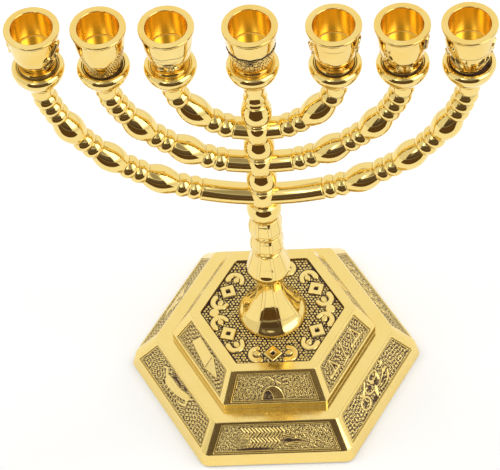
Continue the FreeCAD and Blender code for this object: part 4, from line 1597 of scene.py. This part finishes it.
    def fig(self, relief: Relief) -> None:
        """Waved lines above, and scallops with leaves below."""
        for shift in (0.0, 19.0, -19.0):
            relief.scores(shift, (
                (((-8.5, 11.4), (-6.4, 10.7), (-4.4, 10.5), (-2.6, 9.7), (-0.6, 9.8), (1.5, 10.2),
                  (3.6, 9.7), (5.6, 10.4), (8.0, 11.4)), 0.26, 0.75),
                (((-3.4, 8.2), (-0.5, 7.5), (2.6, 8.3)), 0.2, 0.5),
                (((-3.4, 8.2), (-0.5, 8.9), (2.6, 8.3)), 0.2, 0.35),
                (((-5.8, 8.8), (-4.7, 6.8), (-3.4, 5.8), (-1.6, 5.3)), 0.3, 0.85),
                (((-1.0, 4.9), (0.9, 4.4), (2.3, 4.7)), 0.3, 0.85),
                (((2.9, 5.5), (3.9, 6.3), (4.6, 7.6)), 0.34, 0.9),
            ))
            for leaf_x, leaf_y, turn in ((-3.6, 4.2, 25), (-0.4, 3.0, 70), (1.9, 3.2, 110), (3.6, 4.6, 150)):
                relief.leaf((shift + leaf_x, leaf_y), turn, 2.8, 1.2, 0.4)
            relief.leaf((shift - 2.2, 6.9), 5, 4.4, 1.3, 0.3)

    def band(self, relief: Relief) -> None:
        """A broad plain band whose lower edge is scalloped, over a dotted ground."""
        low = self.wall_height - 6.2
        edge = low + 0.3 * np.abs(np.sin(relief.x * math.pi / 2.9))
        relief.height = np.maximum(relief.height, 0.02 * ease((relief.y - edge) / 0.3))
        dots = pebble_distance(relief.x, relief.y, 1.05)
        ground = ease((edge - 0.4 - relief.y) / 0.2) * ease((relief.y - 2.2) / 1.2)
        dome = np.sqrt(np.clip(1.0 - (dots / 0.5) ** 2, 0.0, 1.0)) * ground
        relief.height = np.maximum(relief.height, 0.24 * dome)
        blot = ease(1.0 - np.hypot(relief.x + 0.1, (relief.y - low + 1.7) * 1.2) / 1.7)
        shadow = ease(1.3 - np.abs(relief.y - edge + 0.42) / 0.36)
        gaps = 0.85 * ease((0.4 - dome) / 0.4) * ground
        relief.shade = np.clip(gaps + shadow + 0.9 * blot, 0.0, 1.0)
        relief.score([(-5.0, 8.4), (-3.0, 7.0), (-1.4, 6.4), (0.0, 6.8)], 0.3, 0.9)

    def line(self, relief: Relief) -> None:
        """Two thin turned lines that darken at the front, and a leaf at each side."""
        front = ease((3.0 - np.abs(relief.x)) / 1.6)
        for level in (12.3, 5.4):
            groove = ease(1.0 - np.abs(relief.y - level) / 0.18)
            relief.height = relief.height - 0.08 * groove
            relief.shade = np.maximum(relief.shade, 0.7 * groove * front)
        for side in (-1, 1):
            for level, tilt in ((6.4, 70), (8.6, 110), (10.4, 60)):
                relief.leaf((side * 7.2, level), tilt, 3.0, 1.5, 0.4)
            relief.score([(side * 6.4, 6.0), (side * 6.9, 8.0), (side * 6.3, 10.2)], 0.25, 0.7)
        for middle, tilt in ((-2.6, 30), (-0.6, 150), (1.4, 25), (3.2, 140)):
            relief.leaf((middle, 2.2), tilt, 2.6, 0.9, 0.2)

    def star(self, relief: Relief) -> None:
        """A small ring flower at the side, and pointed leaves that cross near the foot."""
        for middle in (-3.6, 9.4, -15.0):
            ring = [(middle + 0.95 * math.cos(a), 7.9 + 1.25 * math.sin(a))
                    for a in np.linspace(0.0, TAU, 9)]
            relief.bow(ring, 0.5, 0.4)
            relief.score([(middle - 1.6, 6.4), (middle - 1.7, 8.4), (middle - 0.4, 10.0)], 0.24, 0.6)
            relief.leaf((middle - 1.2, 10.2), 40, 2.4, 1.2, 0.35)
        for middle in (0.6, -8.0, 9.0):
            for tilt, reach in ((58, 4.6), (122, 4.6), (20, 3.2), (160, 3.2)):
                relief.leaf((middle, 2.3), tilt, reach, 1.3, 0.45)
            wave = ((-4.2, 5.6), (-2.6, 4.6), (-1.2, 6.0), (0.0, 4.4), (1.3, 6.0), (2.6, 4.4), (4.2, 6.2))
            relief.scores(middle, ((wave, 0.18, 0.5),))
        for level in (9.4, 11.2):
            relief.leaf((6.4, level), 70, 3.0, 1.6, 0.45)
            relief.score([(5.6, level), (6.2, level + 1.0), (6.4, level + 2.0)], 0.34, 0.9)

    def vase(self, relief: Relief) -> None:
        """A turned line, and slanting leaves below it with dark gaps between them."""
        groove = ease(1.0 - np.abs(relief.y - 8.4) / 0.2)
        relief.height = relief.height - 0.08 * groove
        relief.shade = 0.75 * groove
        for shift in (0.0, 13.0, -13.0):
            for foot_x, tilt in ((-4.4, 118), (-2.6, 112), (-0.2, 98), (2.4, 62), (4.4, 58)):
                relief.leaf((shift + foot_x * 0.7, 2.0), tilt, 6.0, 1.7, 0.5)
            for start, end in ((-3.9, -5.6), (-2.4, -3.6), (2.0, 3.8), (3.5, 5.8)):
                gap = ((start * 0.8, 2.6), ((start + end) / 2, 5.0), (end, 7.4))
                relief.scores(shift, ((gap, 0.3, 0.8),))
        for middle in (-5.8, 6.4):
            relief.leaf((middle, 9.4), 60, 3.2, 1.7, 0.4)
            relief.score([(middle - 0.8, 9.4), (middle - 0.2, 11.2), (middle + 1.0, 12.2)], 0.28, 0.7)


@dataclass
class Pan:
    """One drip pan: a shallow plate with a full round rim on a flared stem."""

    number: int
    radius: float = 7.1
    stem_radius: float = 3.3
    crest_radius: float = 6.1
    seat_radius: float = 5.28
    seat_drop: float = 0.34
    dish_depth: float = 1.4
    bore: float = 1.6
    columns: int = 128
    pan_outline_shares: tuple = ((0.0, 0.0), (0.22, 0.1), (0.6, 0.36), (0.9, 0.62), (1.0, 0.83))

    def surface(self) -> Surface:
        """Carry the pan's closed outline round its axis."""
        node = f"drip_pan_{self.number}"
        low, top = node_levels(node)
        outline = between(self.pan_outline_shares, self.stem_radius, self.radius, low, top)
        widest = outline[-1][1]
        bend = np.linspace(0.0, math.pi / 2.0, 14)[1:]
        rim = np.stack([self.crest_radius + (self.radius - self.crest_radius) * np.cos(bend),
                        widest + (top - widest) * np.sin(bend)], axis=-1)
        seat, edge = top - self.seat_drop, 0.05
        dish = smooth_line([(self.crest_radius, top), (self.crest_radius - 0.35, top - 0.1),
                            (self.seat_radius + 0.2, seat), (self.seat_radius + edge, seat)], 14)[1:]
        floor = np.array([(self.seat_radius, seat - edge), (self.seat_radius, seat - 2.0 * edge),
                          (self.seat_radius, top - self.dish_depth), (self.bore, top - self.dish_depth),
                          (self.bore, low)])
        profile = np.concatenate([smooth_line(outline, 46), rim, dish, floor])
        rings = turned(profile, self.columns, node_middle(node))
        return skinned(rings, looped=True)


@dataclass
class Cups:
    """The seven drip pans and candle cups."""

    order: tuple = tuple(CupRelief)

    def build(self, palette: Palette) -> None:
        """Make and dress each pan and cup, left to right."""
        for number, relief in enumerate(self.order, 1):
            pan, cup = f"drip_pan_{number}", f"candle_cup_{number}"
            place_polished(Pan(number).surface(), pan, palette)
            place(Cup(number, relief).surface(), cup + "_skin", palette.cup, (cup,))


@dataclass
class Fixings:
    """The frame's own solids that stay: felt, washer, nut and rod."""

    steel_nodes: tuple = ("base_washer", "base_nut", "tie_rod")

    def dress(self, palette: Palette) -> None:
        """Give each solid its material."""
        chosen = {node: palette.steel for node in self.steel_nodes} | {"felt_pad": palette.felt}
        for node, finish in chosen.items():
            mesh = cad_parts[node].data
            mesh.materials.clear()
            mesh.materials.append(finish)
            log.info("%s: frame solid, %s", node, finish.name)


@dataclass(frozen=True)
class Area:
    """A part of the light tent: middle azimuth, half width, middle elevation, half height, edge, change."""

    azimuth: float
    wide: float
    elevation: float
    tall: float
    edge: float
    change: float


@dataclass
class Studio:
    """Camera, floor, world, lamps and light tent."""

    azimuth_deg: float = 5.79
    elevation_deg: float = 53.45
    roll_deg: float = -5.06
    distance: float = 762.6
    focal_px: float = 2678.8
    picture_px: tuple = (500, 470)
    target: tuple = (-4.63, 0.0, 62.86)
    sensor_mm: float = 36.0
    floor_size: float = 6.0
    floor_tone: tuple = (0.86, 0.86, 0.855)
    floor_glow: float = 0.23
    unseen_by: tuple = ("camera", "diffuse", "transmission", "volume_scatter", "shadow")
    world_levels: tuple = (0.45, 1.0)
    lamp_distance: float = 0.75
    lamp_size: float = 0.55
    lamp_power: float = 2.4
    tent_middle: float = 80.0
    tent_radius: float = 1400.0
    tent_from_deg: float = -6.0
    tent_to_deg: float = 89.0
    tent_rings: int = 96
    tent_columns: int = 360
    top_fall: float = 0.38
    top_start_deg: float = 60.0
    top_soft_deg: float = 20.0
    tent_dark: tuple = (0.05, 0.022, 0.01)
    shade_tone: tuple = (0.16, 0.1, 0.05)
    shade_level: float = 0.4
    tent_pale: tuple = (1.0, 0.995, 0.98)
    areas: tuple = (
        Area(-62.0, 26.0, 20.0, 50.0, 14.0, -0.18),
        Area(60.0, 19.0, 34.0, 26.0, 4.0, 2.0),
        Area(85.0, 55.0, 80.0, 22.0, 14.0, -0.3),
        Area(114.0, 16.0, 53.0, 9.0, 6.0, -0.8),
        Area(-126.0, 18.0, 53.0, 10.0, 8.0, -0.34),
        Area(-24.0, 5.5, 35.0, 15.0, 3.0, 2.6),
        Area(0.0, 36.0, 2.0, 9.0, 4.0, -0.55),
        Area(-2.0, 38.0, 14.0, 16.0, 3.0, -0.92),
        Area(12.0, 18.0, 53.0, 20.0, 7.0, -0.66),
    )
    shade_corners: tuple = ((-150.0, -132.0), (135.0, -132.0), (1250.0, -1380.0), (-1350.0, -1380.0))

    def away(self, azimuth_deg: float, elevation_deg: float) -> Vector:
        """Unit vector towards a place round the object; azimuth 0 is the front, and grows to the right."""
        azimuth, elevation = math.radians(azimuth_deg), math.radians(elevation_deg)
        flat = math.cos(elevation)
        return Vector((math.sin(azimuth) * flat, -math.cos(azimuth) * flat, math.sin(elevation)))

    def camera(self) -> None:
        """Set the camera up from the fitted view."""
        back = self.away(self.azimuth_deg, self.elevation_deg)
        right = back.cross(Vector((0.0, 0.0, -1.0))).normalized()
        up = back.cross(right).normalized()
        roll = math.radians(self.roll_deg)
        level = right * math.cos(roll) + up * math.sin(roll)
        upright = up * math.cos(roll) - right * math.sin(roll)
        turn = Matrix((level, upright, back)).transposed().to_4x4()
        data = bpy.data.cameras.new("camera")
        data.sensor_width = self.sensor_mm
        data.lens = self.focal_px / self.picture_px[0] * self.sensor_mm
        data.clip_end = 100.0
        camera = linked("camera", data)
        spot = (Vector(self.target) + back * self.distance) * MM
        camera.matrix_world = Matrix.Translation(spot) @ turn
        bpy.context.scene.camera = camera

    def floor(self) -> None:
        """A plain pale floor."""
        half = self.floor_size / 2.0
        mesh = bpy.data.meshes.new("floor")
        corners = [(-half, -half, 0), (half, -half, 0), (half, half, 0), (-half, half, 0)]
        mesh.from_pydata(corners, [], [(0, 1, 2, 3)])
        sheet = NodeSheet("floor_paper")
        cloud = sheet.noise(300.0)
        paler = tuple(min(1.0, tone * 1.01) for tone in self.floor_tone)
        sheet.feed(sheet.blend(cloud, self.floor_tone, paler), "Base Color")
        sheet.shader.inputs["Roughness"].default_value = 0.9
        sheet.shader.inputs["Specular IOR Level"].default_value = 0.0
        path = sheet.add("ShaderNodeLightPath")
        seen = greater(sheet.tree, path.outputs["Is Camera Ray"], path.outputs["Is Glossy Ray"])
        sheet.feed(sheet.ranged(seen, 0.0, self.floor_glow, 0.0, 1.0), "Emission Strength")
        sheet.shader.inputs["Emission Color"].default_value = (1.0, 1.0, 1.0, 1.0)
        mesh.materials.append(sheet.material)
        ground = linked("floor", mesh)

    def world(self) -> None:
        """A pale surround, which the camera and the metal see brighter than the rest does."""
        world = bpy.data.worlds.new("surround")
        bpy.context.scene.world = world
        world.use_nodes = True
        tree = world.node_tree
        background = tree.nodes["Background"]
        background.inputs["Color"].default_value = (*self.tent_pale, 1.0)
        path = tree.nodes.new("ShaderNodeLightPath")
        seen = greater(tree, path.outputs["Is Camera Ray"], path.outputs["Is Glossy Ray"])
        seen = greater(tree, seen, path.outputs["Is Transmission Ray"])
        strength = tree.nodes.new("ShaderNodeMapRange")
        strength.inputs["To Min"].default_value = self.world_levels[0]
        strength.inputs["To Max"].default_value = self.world_levels[1]
        tree.links.new(seen, strength.inputs["Value"])
        tree.links.new(strength.outputs["Result"], background.inputs["Strength"])

    def lamp(self, name: str, azimuth: float, elevation: float) -> None:
        """A soft square lamp that faces the middle of the object."""
        data = bpy.data.lights.new(name, "AREA")
        data.shape = "SQUARE"
        data.size = self.lamp_size
        data.energy = self.lamp_power
        lamp = linked(name, data)
        away = self.away(azimuth, elevation)
        lamp.location = Vector((0.0, 0.0, self.tent_middle * MM)) + away * self.lamp_distance
        lamp.rotation_euler = away.to_track_quat("Z", "Y").to_euler()
        lamp.visible_camera = False
        lamp.visible_glossy = False

    def reflected(self, piece: bpy.types.Object, sheet: NodeSheet) -> None:
        """Give a piece a material that only glows, and hide it from all but reflections."""
        sheet.shader.inputs["Base Color"].default_value = (0.0, 0.0, 0.0, 1.0)
        sheet.shader.inputs["Specular IOR Level"].default_value = 0.0
        piece.data.materials.append(sheet.material)
        for ray in self.unseen_by:
            setattr(piece, "visible_" + ray, False)

    def tent(self) -> None:
        """A light tent that only reflections see, with softly bounded darker and brighter areas.

        The brightness falls off overhead. Each area multiplies it by 1 + change * across * up, the
        two shares being soft steps of the distance from the area's middle in each direction.
        """
        elevation = np.linspace(self.tent_from_deg, self.tent_to_deg, self.tent_rings)[:, None]
        azimuth = np.linspace(-180.0, 180.0, self.tent_columns, endpoint=False)[None, :]
        overhead = ease((elevation - self.top_start_deg) / self.top_soft_deg)
        glow = 1.0 - self.top_fall * overhead + 0.0 * azimuth
        for area in self.areas:
            across = ease((area.wide - np.abs(azimuth - area.azimuth)) / area.edge + 0.5)
            up = ease((area.tall - np.abs(elevation - area.elevation)) / area.edge + 0.5)
            glow = glow * (1.0 + area.change * across * up)
        around, above = np.radians(azimuth), np.radians(elevation)
        flat, level = np.cos(above), np.sin(above) + 0.0 * around
        away = np.stack([np.sin(around) * flat, -np.cos(around) * flat, level], axis=-1)
        rings = np.array([0.0, 0.0, self.tent_middle]) + self.tent_radius * away
        tent = skinned(rings, glow).to_object("light_tent")
        sheet = NodeSheet("tent_cloth")
        tone = sheet.painted()
        lit = sheet.ranged(tone, 0.0, 1.0, 0.0, 1.0)
        sheet.feed(sheet.blend(lit, self.tent_dark, self.tent_pale), "Emission Color")
        sheet.feed(sheet.ranged(tone, 1.0, 4.0, 1.0, 4.0), "Emission Strength")
        self.reflected(tent, sheet)

    def shade(self) -> None:
        """A dark sheet on the floor in front, which only reflections see."""
        mesh = bpy.data.meshes.new("front_shade")
        corners = [(x * MM, y * MM, self.shade_level * MM) for x, y in self.shade_corners]
        mesh.from_pydata(corners, [], [(0, 1, 2, 3)])
        sheet = NodeSheet("shade_cloth")
        sheet.feed(sheet.blend(sheet.noise(40.0), self.tent_dark, self.shade_tone), "Emission Color")
        sheet.shader.inputs["Emission Strength"].default_value = 1.0
        card = linked("front_shade", mesh)
        self.reflected(card, sheet)

    def build(self) -> None:
        """Set the whole studio up."""
        self.camera()
        self.floor()
        self.world()
        self.lamp("right_softbox", 97.0, 52.0)
        self.lamp("left_softbox", -97.0, 48.0)
        self.tent()
        self.shade()
        bpy.context.scene.view_settings.view_transform = "Standard"


def main() -> None:
    """Build every part of the object in order, then the studio."""
    logging.basicConfig(level=logging.INFO, format="%(message)s")
    palette = Palette.mixed()
    Base().build(palette)
    Stem().build(palette)
    Arms().build(palette)
    Cups().build(palette)
    Fixings().dress(palette)
    Studio().build()


if __name__ == "__main__":
    main()
